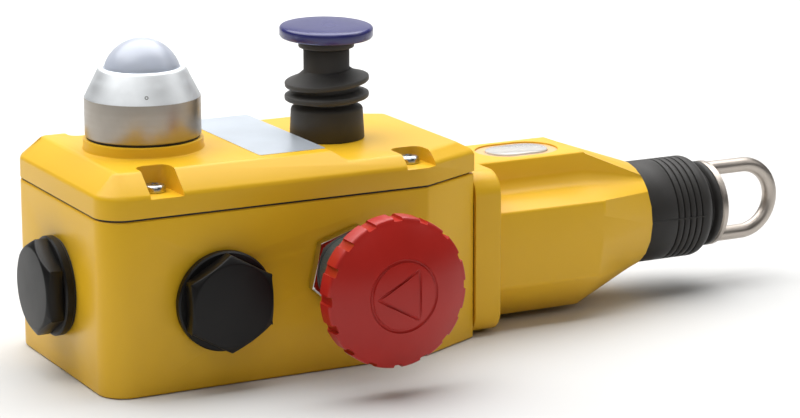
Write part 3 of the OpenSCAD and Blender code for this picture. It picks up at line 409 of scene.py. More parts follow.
class Finishes:
    """Every finish of the switch."""

    # Polyester powder coat on die-cast aluminium: glossy, with a soft orange-peel ripple.
    PAINT = Finish("powder_coat_yellow", "#E9B726", 0.36, 1.5, specular=0.3, dark=0.97, patch_mm=26,
                   grain_mm=1.6, grain_um=5)
    # Glass-filled nylon, moulded: almost black, dull, with a fine spark texture.
    PLUG_NYLON = Finish("moulded_black_nylon", "#100E0D", 0.4, 1.53, specular=0.25, dark=0.8,
                        patch_mm=5, grain_mm=0.3, grain_um=9)
    # Nitrile rubber, pressed: matt black.
    SEAL = Soft("nitrile_rubber", "#232221", 0.7, 1.52, dark=0.8, patch_mm=4, grain_mm=0.25, grain_um=6)
    # Pale silicone round the window, moulded: honey-coloured against the paint.
    CLEAR_SEAL = Soft("pale_silicone", "#E0B57E", 0.45, 1.41, dark=0.95, patch_mm=4, grain_mm=0.4, grain_um=3)
    # Chloroprene boot, moulded: dark grey and matt with a light bloom.
    KNOB_BOOT = Soft("chloroprene_grey", "#3F3D3A", 0.6, 1.52, specular=0.3, dark=0.86, patch_mm=6,
                     grain_mm=0.3, grain_um=6, sheen=0.1)
    # Chloroprene sleeve, moulded: darker, with a soft low gloss.
    SLEEVE = Soft("chloroprene_black", "#2C2A28", 0.5, 1.52, specular=0.3, dark=0.86, patch_mm=7,
                  grain_mm=0.35, grain_um=6, sheen=0.08)
    # Stainless steel rod, bent, welded and tumbled: satin with a warm cast.
    STAINLESS = Finish("tumbled_stainless", "#BBB2A9", 0.38, metallic=1.0, dark=0.92, patch_mm=5,
                       grain_mm=0.7, grain_um=1.5)
    # Ground stainless shaft: lines run round it.
    SHAFT = Turned("ground_stainless", "#C4C1BC", 0.22, metallic=1.0, way=Way.ROPE, line_mm=0.2)
    # Bright zinc plate on steel screws: smooth and a little blue.
    ZINC = Finish("bright_zinc_plate", "#C6C9CC", 0.24, metallic=1.0, dark=0.82, patch_mm=1.6,
                  grain_mm=0.4, grain_um=4)
    # Patented spring wire, drawn and oiled: darker steel.
    SPRING = Finish("drawn_spring_wire", "#8E8C88", 0.3, metallic=1.0, dark=0.8, patch_mm=2.5,
                    grain_mm=0.3, grain_um=4)
    # Nickel-chrome plate on the stop button's nut: mirror smooth.
    CHROME = Finish("bright_chrome_plate", "#C9C8C4", 0.1, metallic=1.0, dark=0.9, patch_mm=5,
                    grain_mm=1.2, grain_um=2)
    # Sintered bronze of the bushes: warm and porous.
    BRONZE = Finish("sintered_bronze", "#A9824B", 0.42, metallic=1.0, dark=0.75, patch_mm=1.8,
                    grain_mm=0.25, grain_um=10)
    # Opal polycarbonate of the dome: milky with a blue-white cast.
    DOME = Clear("opal_polycarbonate", "#E8EEFB", 0.3, 1.58, dark=0.97, patch_mm=8, grain_mm=1.5,
                 grain_um=3, through=0.5)
    # Acrylic lens of the window, moulded: clear, with a little haze.
    LENS = Clear("clear_acrylic", "#F2F0EC", 0.08, 1.49, dark=0.99, patch_mm=10, grain_mm=3, grain_um=0.5,
                 through=0.5)
    # Epoxy board with green solder resist.
    BOARD = Finish("green_solder_resist", "#2F6B45", 0.3, 1.55, dark=0.7, patch_mm=1.2, grain_mm=0.5)
    # Phosphor under clear silicone of the lamps: pale yellow.
    LAMP = Finish("lamp_silicone", "#EFE6A8", 0.3, 1.41, dark=0.9, patch_mm=1, grain_mm=0.6, grain_um=3)
    # Polyamide of the stop button, moulded and polished: deep red, semi-gloss.
    RED = Finish("moulded_red_polyamide", "#B4251D", 0.3, 1.53, specular=0.3, dark=0.92, patch_mm=14,
                 grain_mm=0.7, grain_um=5)
    # ABS cap of the reset knob, moulded: strong blue, glossy.
    BLUE = Finish("moulded_blue_abs", "#2B2C6E", 0.27, 1.54, specular=0.6, dark=0.92, patch_mm=10,
                  grain_mm=0.7, grain_um=3)
    # Glass-filled polyamide of barrels and stems: grey-green and dull.
    GREY = Finish("moulded_grey_polyamide", "#4A5350", 0.45, 1.53, dark=0.85, patch_mm=4, grain_mm=0.3,
                  grain_um=7)
    # Acetal of the spring cup: milk white with a waxy gloss.
    CUP = Finish("white_acetal", "#E4E2DA", 0.35, 1.48, dark=0.93, patch_mm=6, grain_mm=0.4, grain_um=4)
    # Acetal of the cam slider, natural.
    SLIDER = Finish("natural_acetal", "#CFC9B8", 0.38, 1.48, dark=0.9, patch_mm=5, grain_mm=0.35)
    # Enamel of the tension marks, brushed on.
    MARKS = Finish("green_enamel", "#2E8B57", 0.3, 1.5, dark=0.9, patch_mm=3, grain_mm=1.2, grain_um=12)
    # Thermoset of the contact blocks: slate grey and dull.
    BLOCK = Finish("slate_thermoset", "#3A4A57", 0.5, 1.56, dark=0.82, patch_mm=4, grain_mm=0.3, grain_um=8)
    # Polyamide of the terminal block: cream.
    TERMINAL = Finish("cream_polyamide", "#D3CDBB", 0.42, 1.53, dark=0.9, patch_mm=4, grain_mm=0.3, grain_um=6)
    # Acetal of the plungers: orange-red.
    PLUNGER = Finish("orange_acetal", "#C44A2E", 0.35, 1.48, dark=0.88, patch_mm=2, grain_mm=0.3, grain_um=4)
    # Metallised polyester film of the blank plate: pale and cool.
    FILM = Finish("metallised_film", "#D9E2EC", 0.3, 1.5, metallic=0.6, dark=0.95, patch_mm=12,
                  grain_mm=0.4, grain_um=2)


# ---- bench: the ways in which pieces are shaped ----


def take(*things: Thing) -> None:
    """Selects these objects and no others, and makes the first one active."""
    if bpy.context.object and bpy.context.object.mode != "OBJECT":
        bpy.ops.object.mode_set(mode="OBJECT")
    bpy.ops.object.select_all(action="DESELECT")
    for thing in things:
        thing.select_set(True)
    if things:
        bpy.context.view_layer.objects.active = things[0]


@contextmanager
def editing(thing: Thing, kind: Kind = Kind.FACE, test: Test = lambda part: True) -> Iterator[None]:
    """Edit mode on one object, with what passes a test selected.

    Args:
        thing: object to edit.
        kind: whether vertices, edges or faces are picked.
        test: what tells whether one of them is wanted.

    Yields:
        Nothing: edit mode ends with the block.
    """
    take(thing)
    bpy.ops.object.mode_set(mode="EDIT")
    bpy.ops.mesh.select_mode(type=kind.name)
    bpy.ops.mesh.select_all(action="DESELECT")
    mesh = bmesh.from_edit_mesh(thing.data)
    mesh.normal_update()
    for part in [part for part in getattr(mesh, kind.value) if test(part)]:
        part.select_set(True)
    mesh.select_flush_mode()
    bmesh.update_edit_mesh(thing.data)
    yield
    bpy.ops.object.mode_set(mode="OBJECT")


def shift(thing: Thing, kind: Kind, test: Test, by: Sequence[float]) -> None:
    """Moves what passes a test, by a distance in metres."""
    with editing(thing, kind, test):
        bpy.ops.transform.translate(value=by)


def bevel(thing: Thing, width: float, segments: int, test: Test, **settings: bool) -> None:
    """Bevels the edges that pass a test, by a width in mm."""
    with editing(thing, Kind.EDGE, test):
        bpy.ops.mesh.bevel(offset=mm(width), segments=segments, affect="EDGES", **settings)


def named(name: str) -> Thing:
    """The active object, under its new name.

    Args:
        name: name of the object and of its mesh.

    Returns:
        The object.
    """
    thing = bpy.context.object
    thing.name = name
    thing.data.name = name
    return thing


def seal(thing: Thing, merge: float = 0.002) -> None:
    """Merges doubles and turns all faces outwards.

    Args:
        thing: piece or cutter.
        merge: points this close, in mm, become one.
    """
    with editing(thing, Kind.VERT):
        bpy.ops.mesh.remove_doubles(threshold=mm(merge))
        bpy.ops.mesh.normals_make_consistent(inside=False)


def turned(name: str, rings: Sequence[Ring], sides: int = 72, open_bore: bool = False) -> Thing:
    """Turned piece about Z: a disc or a ring, extruded and resized from one ring to the next.

    Args:
        name: name of the piece.
        rings: radius and height of each ring in turn, in mm.
        sides: faces round the axis.
        open_bore: whether the rings close on themselves round an open bore.

    Returns:
        The piece, along +Z.
    """
    take()
    radius, height = (mm(v) for v in rings[0])
    bpy.ops.mesh.primitive_circle_add(
        vertices=sides, radius=radius, fill_type="NOTHING" if open_bore else "NGON", location=(0, 0, height)
    )
    thing = named(name)
    loop = [*rings[1:], rings[0]] if open_bore else rings[1:]
    with editing(thing, Kind.EDGE if open_bore else Kind.FACE):
        for next_radius, next_height in ((mm(r), mm(z)) for r, z in loop):
            bpy.ops.mesh.extrude_region_move(TRANSFORM_OT_translate={"value": (0, 0, next_height - height)})
            ratio = next_radius / radius
            bpy.ops.transform.resize(value=(ratio, ratio, 1), center_override=(0, 0, next_height))
            radius, height = next_radius, next_height
    seal(thing)
    settle(thing)
    return thing


def settle(thing: Thing, way: Way = Way.UP, at: Sequence[float] = (0, 0, 0), spin: float = 0) -> Thing:
    """Turns a piece to its way, moves it to its place and applies both to its mesh.

    Args:
        thing: piece modelled along +Z at the origin.
        way: where its +Z goes.
        at: its place in metres.
        spin: degrees that it is turned about its own axis first.

    Returns:
        The same piece.
    """
    own = Matrix.Rotation(math.radians(spin), 4, "Z")
    thing.matrix_world = Matrix.Translation(at) @ way.turn() @ own @ thing.matrix_world
    take(thing)
    bpy.ops.object.transform_apply(location=True, rotation=True, scale=True)
    return thing


def modify(thing: Thing, kind: str, **settings: object) -> None:
    """Adds a modifier with its settings and applies it.

    Args:
        thing: piece that gets it.
        kind: type of the modifier.
        settings: its properties.
    """
    modifier = thing.modifiers.new(kind, kind)
    for key, value in settings.items():
        setattr(modifier, key, value)
    take(thing)
    bpy.ops.object.modifier_apply(modifier=modifier.name)


def soften(thing: Thing, width: float, segments: int = 2, angle: float = 30, clamp: bool = True) -> Thing:
    """Rounds the sharp edges of a piece.

    Args:
        thing: piece to round.
        width: width of the round in mm.
        segments: faces across the round.
        angle: sharpest angle in degrees that stays as it is.
        clamp: whether short edges hold the width back.

    Returns:
        The same piece.
    """
    modify(
        thing,
        "BEVEL",
        width=mm(width),
        segments=segments,
        limit_method="ANGLE",
        angle_limit=math.radians(angle),
        use_clamp_overlap=clamp,
        miter_outer="MITER_ARC",
    )
    return thing


def cut(thing: Thing, tool: Thing, how: Boolean = Boolean.AWAY, solver: Solver = Solver.EXACT) -> Thing:
    """Cuts a tool out of a piece, or joins it on, and throws the tool away.

    Args:
        thing: piece that is cut or added to.
        tool: what cuts it or joins it.
        how: what the tool does.
        solver: how the boolean is worked out.

    Returns:
        The piece.
    """
    modify(thing, "BOOLEAN", object=tool, operation=how.value, solver=solver.value)
    bpy.data.objects.remove(tool)
    return thing


def copied(thing: Thing, name: str) -> Thing:
    """Copy of a piece with its own mesh.

    Args:
        thing: piece to copy.
        name: the copy's name.

    Returns:
        The copy.
    """
    take(thing)
    bpy.ops.object.duplicate(linked=False)
    return named(name)


def ring_of(thing: Thing, count: int) -> Thing:
    """Copies a piece evenly round the Z axis and joins the copies into one.

    Args:
        thing: piece beside the axis.
        count: how many there are in the end.

    Returns:
        The joined piece.
    """
    things = [thing]
    for step in range(1, count):
        copy = copied(thing, f"{thing.name}_{step}")
        things.append(settle(copy, spin=360 * step / count))
    take(*things)
    bpy.ops.object.join()
    return thing


def block(name: str, size: Sequence[float], at: Sequence[float] = (0, 0, 0)) -> Thing:
    """Rectangular blank, the start of a piece or a cutter.

    Args:
        name: its name.
        size: its length, width and height in mm.
        at: its middle in mm.

    Returns:
        The blank with its place applied.
    """
    take()
    bpy.ops.mesh.primitive_cube_add(size=1, location=[mm(v) for v in at], scale=[mm(v) for v in size])
    return settle(named(name))


def cad_copy(node: str, name: str) -> Thing:
    """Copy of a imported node's mesh with its loose triangles merged into whole faces.

    Args:
        node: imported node.
        name: the copy's name.

    Returns:
        The copy.
    """
    thing = bpy.data.objects.new(name, frame["nodes"][node].data.copy())
    bpy.context.scene.collection.objects.link(thing)
    thing.data.name = name
    with editing(thing, Kind.VERT):
        bpy.ops.mesh.remove_doubles(threshold=mm(CAD_MERGE))
        bpy.ops.mesh.dissolve_limited(angle_limit=math.radians(CAD_FLAT))
    return thing


def hand_over(thing: Thing, finish: Finish, body: Body, slot: Slot, *nodes: str, smooth: float = 35) -> Thing:
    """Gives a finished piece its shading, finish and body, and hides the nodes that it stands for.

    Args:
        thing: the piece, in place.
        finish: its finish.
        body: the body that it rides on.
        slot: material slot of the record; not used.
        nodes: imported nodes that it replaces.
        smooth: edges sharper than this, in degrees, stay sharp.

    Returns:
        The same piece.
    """
    take(thing)
    bpy.ops.object.shade_smooth_by_angle(angle=math.radians(smooth))
    thing.data.materials.clear()
    thing.data.materials.append(finish.material())
    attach(thing, body.value)
    if nodes:
        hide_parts(*nodes)
    log.info("%s: %d faces", thing.name, len(thing.data.polygons))
    return thing


def dress(node: str, finish: Finish) -> None:
    """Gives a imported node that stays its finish.

    Args:
        node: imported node.
        finish: its finish.
    """
    for slot in frame["nodes"][node].material_slots:
        slot.material = finish.material()
    log.info("%s keeps its solid", node)


def softened(node: str, finish: Finish, body: Body, slot: Slot, width: float = 0.25) -> Thing:
    """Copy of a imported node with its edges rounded, which stands for it."""
    thing = soften(cad_copy(node, node + "_worked"), width)
    return hand_over(thing, finish, body, slot, node)


def upright(edge: bmesh.types.BMEdge) -> bool:
    """Whether an edge stands upright."""
    line = edge.verts[1].co - edge.verts[0].co
    return abs(line.z) > 0.99 * line.length


def box_mm(node: str) -> tuple[Vector, Vector]:
    """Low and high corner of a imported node's box, in mm."""
    low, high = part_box(node)
    return 1000 * low, 1000 * high


def middle(node: str) -> Vector:
    """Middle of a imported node's box."""
    low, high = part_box(node)
    return (low + high) / 2


# ---- sub-assemblies ----


@dataclass
class LowerShell:
    """Lower shell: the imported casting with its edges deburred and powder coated."""

    edge_round: float = 0.7
    gasket_in: float = 0.965

    def build(self) -> None:
        """Rounds the casting and dresses the gaskets that it carries."""
        shell = cad_copy("housing_base", "housing_base_cast")
        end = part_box("housing_base")[1].x
        shift(shell, Kind.FACE, lambda face: face.normal.x > 0.9 and face.calc_center_median().x > end - mm(0.1),
              (mm(END_OUT), 0, 0))
        soften(shell, self.edge_round, 3, 18, clamp=False)
        hand_over(shell, Finishes.PAINT, Body.HOUSING, Slot.DIE_CAST, "housing_base")
        dress("lid_gasket", Finishes.SEAL)
        self.neck_gasket()

    def neck_gasket(self) -> None:
        """Gasket pressed thin between the shell and the flange, a little inside their edges."""
        gasket = cad_copy("neck_gasket", "neck_gasket_pressed")
        low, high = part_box("neck_gasket")
        press = END_OUT + SEAM - 1000 * (high.x - low.x)
        shift(gasket, Kind.FACE, lambda face: face.normal.x > 0.9, (mm(press), 0, 0))
        shift(gasket, Kind.FACE, lambda face: face.normal.x < -0.9, (mm(END_OUT), 0, 0))
        with editing(gasket):
            bpy.ops.transform.resize(value=(1, self.gasket_in, self.gasket_in),
                                     center_override=middle("neck_gasket"))
        hand_over(gasket, Finishes.SEAL, Body.HOUSING, Slot.SEAL_RUBBER, "neck_gasket")


@dataclass
class Lid:
    """Lid: an upright rim, a sloping border, two decks with a ramp, and the beacon's boss."""

    rim_h: float = 6.0
    deck_h: float = 11.8
    deck_step: float = 2.8
    slope_run: float = 6.8
    ramp_x: float = 12.6
    ramp_l: float = 3.8
    corner_r: float = 8.3
    chamfer_l: float = 19.7
    chamfer_w: float = 10.5
    wall: float = 4.0
    deck_t: float = 3.0
    boss_d: float = 34.6
    boss_h: float = 3.2
    bush_bore: float = 6.05
    beacon_bore: float = 9.05
    screw_bore: float = 1.7
    pocket_w: float = 10.0
    pocket_back: float = 3.5
    pocket_corner: float = 3.0
    pocket_drop: float = 0.9
    column_r: float = 5.5
    edge_round: float = 0.9
    foot_round: float = 0.8
    end_depth: float = 1.2
    boot_seat: tuple[float, float] = (11.4, 9.0)
    plate_size: tuple[float, float, float] = (20.8, 54.4, 0.15)
    plate_right: float = 12.3
    plate_front: float = -26.4
    plate_corner: float = 0.8

    def build(self) -> None:
        """Models the lid and its blank plate."""
        self.low, self.high = box_mm("housing_lid")
        self.deck_z = self.low.z + self.deck_h
        self.rim_z = self.low.z + self.rim_h
        lid = self.form()
        self.hollow(lid)
        self.holes(lid)
        shift(lid, Kind.VERT, lambda v: v.co.x > mm(self.high.x - self.end_depth), (mm(END_OUT), 0, 0))
        hand_over(lid, Finishes.PAINT, Body.HOUSING, Slot.DIE_CAST, "housing_lid")
        self.plate()

    def form(self) -> Thing:
        """Outer form: a block with rounded and chamfered corners, its top drawn in and stepped.

        Returns:
            The solid form of the lid.
        """
        size, mid = self.high - self.low, (self.high + self.low) / 2
        lid = block("housing_lid_cast", (size.x, size.y, self.rim_h), (mid.x, mid.y, self.low.z + self.rim_h / 2))
        self.corners(lid, self.corner_r, 14, self.high.x, self.high.y - self.chamfer_w)
        with editing(lid, Kind.FACE, lambda face: face.normal.z > 0.99):
            bpy.ops.mesh.inset(thickness=mm(self.slope_run), depth=mm(self.deck_h - self.rim_h))
        cut(lid, self.step_tool())
        bevel(lid, self.edge_round, 3, lambda edge: edge.calc_face_angle(0) > math.radians(4) and not upright(edge)
              and min(v.co.z for v in edge.verts) > mm(self.low.z + 1), clamp_overlap=False, loop_slide=False)
        r, top = self.boss_d / 2, self.deck_z + self.boss_h
        boss = turned("boss", [
            (r + self.foot_round, self.deck_z - self.deck_t), (r + self.foot_round, self.deck_z - 0.01),
            (r + 0.3 * self.foot_round, self.deck_z + 0.3 * self.foot_round), (r, self.deck_z + self.foot_round),
            (r, top - 0.4), (r - 0.12, top - 0.12), (r - 0.4, top),
        ], 96)
        return cut(lid, settle(boss, at=(middle("beacon_collar").x, 0, 0)), Boolean.ON)

    def corners(self, thing: Thing, radius: float, segments: int, end: float, side_y: float) -> None:
        """Rounds a block's two corners on the left and chamfers the two towards the rope.

        Args:
            thing: the lid's block, or the cutter of its hollow.
            radius: radius of the left corners in mm.
            segments: faces round each of them.
            end: where the block ends towards the rope, in mm.
            side_y: how far from the middle the chamfer meets that end, in mm.
        """
        bevel(thing, radius, segments, lambda edge: upright(edge) and edge.verts[0].co.x < 0)
        for side in (-1, 1):
            normal = Vector((self.chamfer_w, side * self.chamfer_l, 0)).normalized()
            with editing(thing):
                bpy.ops.mesh.bisect(
                    plane_co=(mm(end), side * mm(side_y), 0), plane_no=normal, clear_outer=True, use_fill=True
                )

    def step_tool(self) -> Thing:
        """Cutter over the low deck, with the ramp on its left.

        Returns:
            The cutter.
        """
        length = self.high.x - self.ramp_x + 5
        top = self.deck_z - self.deck_step
        tool = block("step_cutter", (length, 2 * self.high.y + 4, 10), (self.ramp_x + length / 2, 0, top + 5))
        over = 10 - self.deck_step
        for above, by in ((False, mm(self.ramp_l)), (True, -mm(over * self.ramp_l / self.deck_step))):
            shift(tool, Kind.EDGE, lambda edge: all(v.co.x < mm(self.ramp_x + 1) and (v.co.z > mm(top + 1)) == above
                                                    for v in edge.verts), (by, 0, 0))
        return tool

    def columns(self) -> Thing:
        """The four screw columns inside the lid, in one piece.

        Returns:
            The columns.
        """
        things = []
        for seat in lid_screw_seats():
            column = turned("column", [(self.column_r, self.low.z - 1), (self.column_r, self.deck_z)], 48)
            things.append(settle(column, at=(seat.x, seat.y, 0)))
        take(*things)
        bpy.ops.object.join()
        return things[0]

    def hollow(self, lid: Thing) -> None:
        """Hollows the lid, round its screw columns.

        Args:
            lid: the solid form.
        """
        reach = [v - self.slope_run - self.wall for v in (self.high.x, self.high.y)]
        rim = block("rim_cutter", (2 * (self.high.x - self.wall), 2 * (self.high.y - self.wall), self.rim_h - 1.5),
                    (0, 0, self.low.z + (self.rim_h - 1.5) / 2 - 0.01))
        self.corners(rim, self.corner_r - self.wall, 8, self.high.x - self.wall,
                     self.high.y - self.chamfer_w - self.wall * 0.75)
        left = self.ramp_x - self.deck_t + reach[0]
        high = self.deck_h - self.deck_t
        low = high - self.deck_step
        for length, height in ((left, high), (2 * reach[0], low)):
            box = block("deck_cutter", (length, 2 * reach[1], height),
                        (length / 2 - reach[0], 0, self.low.z + height / 2))
            cut(rim, box, Boolean.ON)
        cut(rim, self.columns())
        cut(lid, rim)

    def holes(self, lid: Thing) -> None:
        """Cuts the screw pockets and every bore.

        Args:
            lid: the hollow lid.
        """
        for seat in lid_screw_seats():
            side = math.copysign(1, seat.y)
            reach = 2 * self.slope_run + self.pocket_back
            pocket = block("pocket_cutter", (self.pocket_w, reach, self.deck_h), (0, 0, self.deck_h / 2))
            bevel(pocket, self.pocket_corner, 8, lambda edge: upright(edge) and edge.verts[0].co.y * side < 0)
            at = (seat.x, seat.y + side * mm(reach / 2 - self.pocket_back), mm(self.rim_z - self.pocket_drop))
            cut(lid, settle(pocket, at=at), solver=Solver.MANIFOLD)
            self.bore(lid, seat.x, seat.y, self.screw_bore)
        self.bore(lid, middle("beacon_collar").x, 0, self.beacon_bore)
        knob = middle("reset_boot").x
        self.bore(lid, knob, 0, self.bush_bore)
        radius, height = self.boot_seat
        foot = turned("foot_cutter", [(radius, 0), (radius, height)], 72)
        cut(lid, settle(foot, at=(knob, 0, mm(self.deck_z - self.deck_step))), solver=Solver.MANIFOLD)

    def bore(self, lid: Thing, x: float, y: float, radius: float) -> None:
        """Cuts a bore through the lid."""
        tool = turned("bore_cutter", [(radius, self.low.z - 1), (radius, self.high.z + 1)], 48)
        cut(lid, settle(tool, at=(x, y, 0)), solver=Solver.MANIFOLD)

    def plate(self) -> None:
        """Blank plate across the raised deck."""
        length, width, thick = self.plate_size
        plate = block("blank_plate", (length, width, thick),
                      (self.plate_right - length / 2, self.plate_front + width / 2, self.deck_z + thick / 2))
        bevel(plate, self.plate_corner, 4, upright)
        hand_over(plate, Finishes.FILM, Body.HOUSING, Slot.DIE_CAST)


@dataclass
class Neck:
    """Neck: a flange, a body with a ridge over two shelves that narrows to a round nose, and a window."""

    flange_t: float = 8.8
    flange_r: float = 6.8
    low_r: float = 6.0
    low: float = 1.9
    top: float = 49.7
    width: float = 50.6
    keel_w: float = 31
    keel_z: float = 13.6
    ridge_w: float = 24.8
    ridge_foot: float = 40.6
    fillet: float = 6.0
    shelf_z: float = 37.7
    nose_x: float = 129.4
    nose_r: float = 16.6
    taper_l: float = 22.8
    taper_lean: float = 0.13
    nose_bearings: tuple[float, ...] = (-68.0, -56.0, 38.0, 57.0)
    chamber_r: float = 14.5
    chamber_end: float = 122.4
    bush_r: float = 8.05
    spigot_r: float = 13.0
    spigot_l: float = 6.0
    window_size: tuple[float, float] = (26.5, 19.0)
    window_ledge: float = 3.2
    window_depth: float = 2.6
    groove: tuple[float, float] = (1.15, 2.0)
    seal_low: float = 0.45
    seal_lip: float = 1.2
    cutter_top: float = 60.0
    lens_rise: float = 0.15
    edge_round: float = 0.8
    lens_edge: float = 0.3

    def build(self) -> None:
        """Models the casting and the window's lens."""
        self.axis = 1000 * middle("pull_shaft").z
        self.face = 1000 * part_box("neck_gasket")[0].x + END_OUT + SEAM
        body = self.body()
        cut(body, self.flange(), Boolean.ON)
        bevel(body, self.edge_round, 3, lambda edge: edge.is_convex and edge.calc_face_angle(0) > math.radians(24)
              and min(v.co.x for v in edge.verts) > mm(self.face + 0.1)
              and max(v.co.x for v in edge.verts) < mm(self.nose_x - 0.1), loop_slide=False)
        self.holes(body)
        hand_over(body, Finishes.PAINT, Body.HOUSING, Slot.DIE_CAST, "neck_housing", smooth=36)
        self.window()

    def body(self) -> Thing:
        """Plain length with shelves and chamfers, then the taper to the nose.

        Returns:
            The neck's body.
        """
        start = self.nose_x - self.taper_l
        length, height = start - self.face, self.top - self.low
        body = block("neck_housing_cast", (length, self.width, height),
                     (self.face + length / 2, 0, self.low + height / 2))
        half = self.width / 2
        for side in (-1, 1):
            with editing(body):
                bpy.ops.mesh.bisect(
                    plane_co=(0, side * mm(half), mm(self.keel_z)),
                    plane_no=(0, side * (self.keel_z - self.low), -(half - self.keel_w / 2)),
                    clear_outer=True, use_fill=True,
                )
            cut(body, self.shelf_tool(side))
        with editing(body, Kind.EDGE, lambda edge: all(v.co.x > mm(start - 0.1) for v in edge.verts)
                     and edge.calc_length() > mm(6)):
            bpy.ops.mesh.subdivide(number_cuts=4)
        with editing(body, Kind.FACE, lambda face: face.normal.x > 0.9):
            bpy.ops.mesh.extrude_region_move(TRANSFORM_OT_translate={"value": (mm(self.taper_l), 0, 0)})
        self.shape_nose(body)
        return body

    def shelf_tool(self, side: int) -> Thing:
        """Cutter over one shelf, its inner corner rounded as the fillet under the ridge.

        Args:
            side: minus one for the front shelf and one for the rear.

        Returns:
            The cutter.
        """
        width, height = 20.0, 20.0
        inner = self.ridge_w / 2
        tool = block("shelf_cutter", (90, width, height), (self.face + 40, side * (inner + width / 2),
                                                            self.ridge_foot + height / 2))
        drop = (self.ridge_foot - self.shelf_z) * width / (self.width / 2 - inner - self.fillet / 2)
        shift(tool, Kind.EDGE, lambda edge: all(v.co.z < mm(self.ridge_foot + 1) and side * v.co.y > mm(inner + 1)
                                                for v in edge.verts), (0, 0, -mm(drop)))
        bevel(tool, self.fillet * 0.6, 8, lambda edge: all(
            v.co.z < mm(self.ridge_foot + 1) and side * v.co.y < mm(inner + 1) for v in edge.verts))
        return tool

    def bearing(self, y: float, z: float) -> float:
        """Bearing on the nose, in degrees, that a corner of the section runs to.

        Args:
            y: the corner's place across the neck, in mm.
            z: its height over the rope's axis, in mm.

        Returns:
            The bearing.
        """
        natural = math.degrees(math.atan2(z, abs(y)))
        side = self.width / 2
        corners = ((self.keel_w / 2, self.low), (side, self.keel_z), (side, self.shelf_z), (self.ridge_w / 2, self.top))
        keys = [(-90.0, -90.0), *(
            (math.degrees(math.atan2(corner_z - self.axis, corner_y)), nose)
            for (corner_y, corner_z), nose in zip(corners, self.nose_bearings)
        ), (90.0, 90.0)]
        for (a, b), (c, d) in zip(keys, keys[1:]):
            if natural <= c:
                return b + (d - b) * (natural - a) / (c - a)
        return 90.0

    def shape_nose(self, body: Thing) -> None:
        """Moves the end's corners on to the round nose and leans the start of the taper.

        Args:
            body: the neck's body, with a plain end.
        """
        end, start = self.nose_x - 0.1, self.nose_x - self.taper_l
        moves = []
        for vertex in body.data.vertices:
            x, y, z = (1000 * c for c in vertex.co)
            if x > end:
                angle = math.radians(self.bearing(y, z - self.axis))
                side = math.copysign(1, y) if abs(y) > 0.01 else 0
                new = (self.nose_x, side * self.nose_r * math.cos(angle), self.axis + self.nose_r * math.sin(angle))
            elif x > start - 0.1:
                new = (start + self.taper_lean * min(0, z - self.axis), y, z)
            else:
                continue
            moves.append((vertex.index, Vector([mm(a) for a in new]) - vertex.co))
        for index, way in moves:
            shift(body, Kind.VERT, lambda v: v.index == index, way)

    def flange(self) -> Thing:
        """Flange with large round corners above and smaller ones below.

        Returns:
            The flange.
        """
        low, high = box_mm("neck_housing")
        size = (self.flange_t, high.y - low.y, high.z - low.z)
        flange = block("neck_flange", size, (self.face + self.flange_t / 2, 0, (high.z + low.z) / 2))
        for above, radius in ((True, self.flange_r), (False, self.low_r)):
            bevel(flange, radius, 14, lambda edge: abs((edge.verts[1].co - edge.verts[0].co).x) > mm(1)
                  and (edge.verts[0].co.z > mm(self.axis)) == above)
        return flange

    def holes(self, body: Thing) -> None:
        """Adds the spigot and cuts the bores and the window's seat.

        Args:
            body: the neck with its flange.
        """
        at = (0, 0, mm(self.axis))
        spigot = turned("spigot", [(self.spigot_r, self.nose_x - 3), (self.spigot_r, self.nose_x + self.spigot_l)])
        cut(body, settle(spigot, Way.ROPE, at), Boolean.ON)
        bores = turned("bores", [
            (self.chamber_r, self.face - 1), (self.chamber_r, self.chamber_end), (self.bush_r, self.chamber_end),
            (self.bush_r, self.nose_x + self.spigot_l + 1),
        ], 72)
        cut(body, settle(bores, Way.ROPE, at))
        for inside, low in ((0, self.top - self.window_depth), (self.window_ledge, self.axis + 2)):
            cut(body, self.stadium("window_cutter", inside, low, self.cutter_top))

    def stadium(self, name: str, inside: float, low: float, high: float) -> Thing:
        """Block with rounded ends, inside the window's outline by a distance, between two heights.

        Args:
            name: its name.
            inside: how far inside the window's outline it is, in mm.
            low: height of its underside in mm.
            high: height of its top in mm.

        Returns:
            The block.
        """
        length, width = (size - 2 * inside for size in self.window_size)
        thing = block(name, (length, width, high - low), (1000 * middle("window_lens").x, 0, (low + high) / 2))
        bevel(thing, width / 2 - 0.01, 20, upright)
        seal(thing, 0.03)
        return thing

    def window(self) -> None:
        """Clear lens held in the groove of a glazing seal."""
        top, seat = self.top - self.seal_low, self.top - self.window_depth
        high, low = (self.top - depth for depth in self.groove)
        rim, ledge = self.seal_lip, self.window_ledge - 0.1
        ring = self.stadium("window_seal_moulded", 0.05, seat, top)
        cut(ring, self.stadium("seal_opening", ledge, seat - 1, top + 1))
        cut(ring, self.stadium("seal_groove", rim, low, high))
        soften(ring, 0.2, 2, 40)
        hand_over(ring, Finishes.CLEAR_SEAL, Body.HOUSING, Slot.SEAL_RUBBER, "window_seal")
        lens = self.stadium("window_lens_polished", rim + 0.05, low + 0.02, high - 0.02)
        cut(lens, self.stadium("lens_face", ledge + 0.05, high - 0.1, self.top + self.lens_rise), Boolean.ON)
        soften(lens, self.lens_edge, 2, 40)
        hand_over(lens, Finishes.LENS, Body.HOUSING, Slot.LENS, "window_lens")


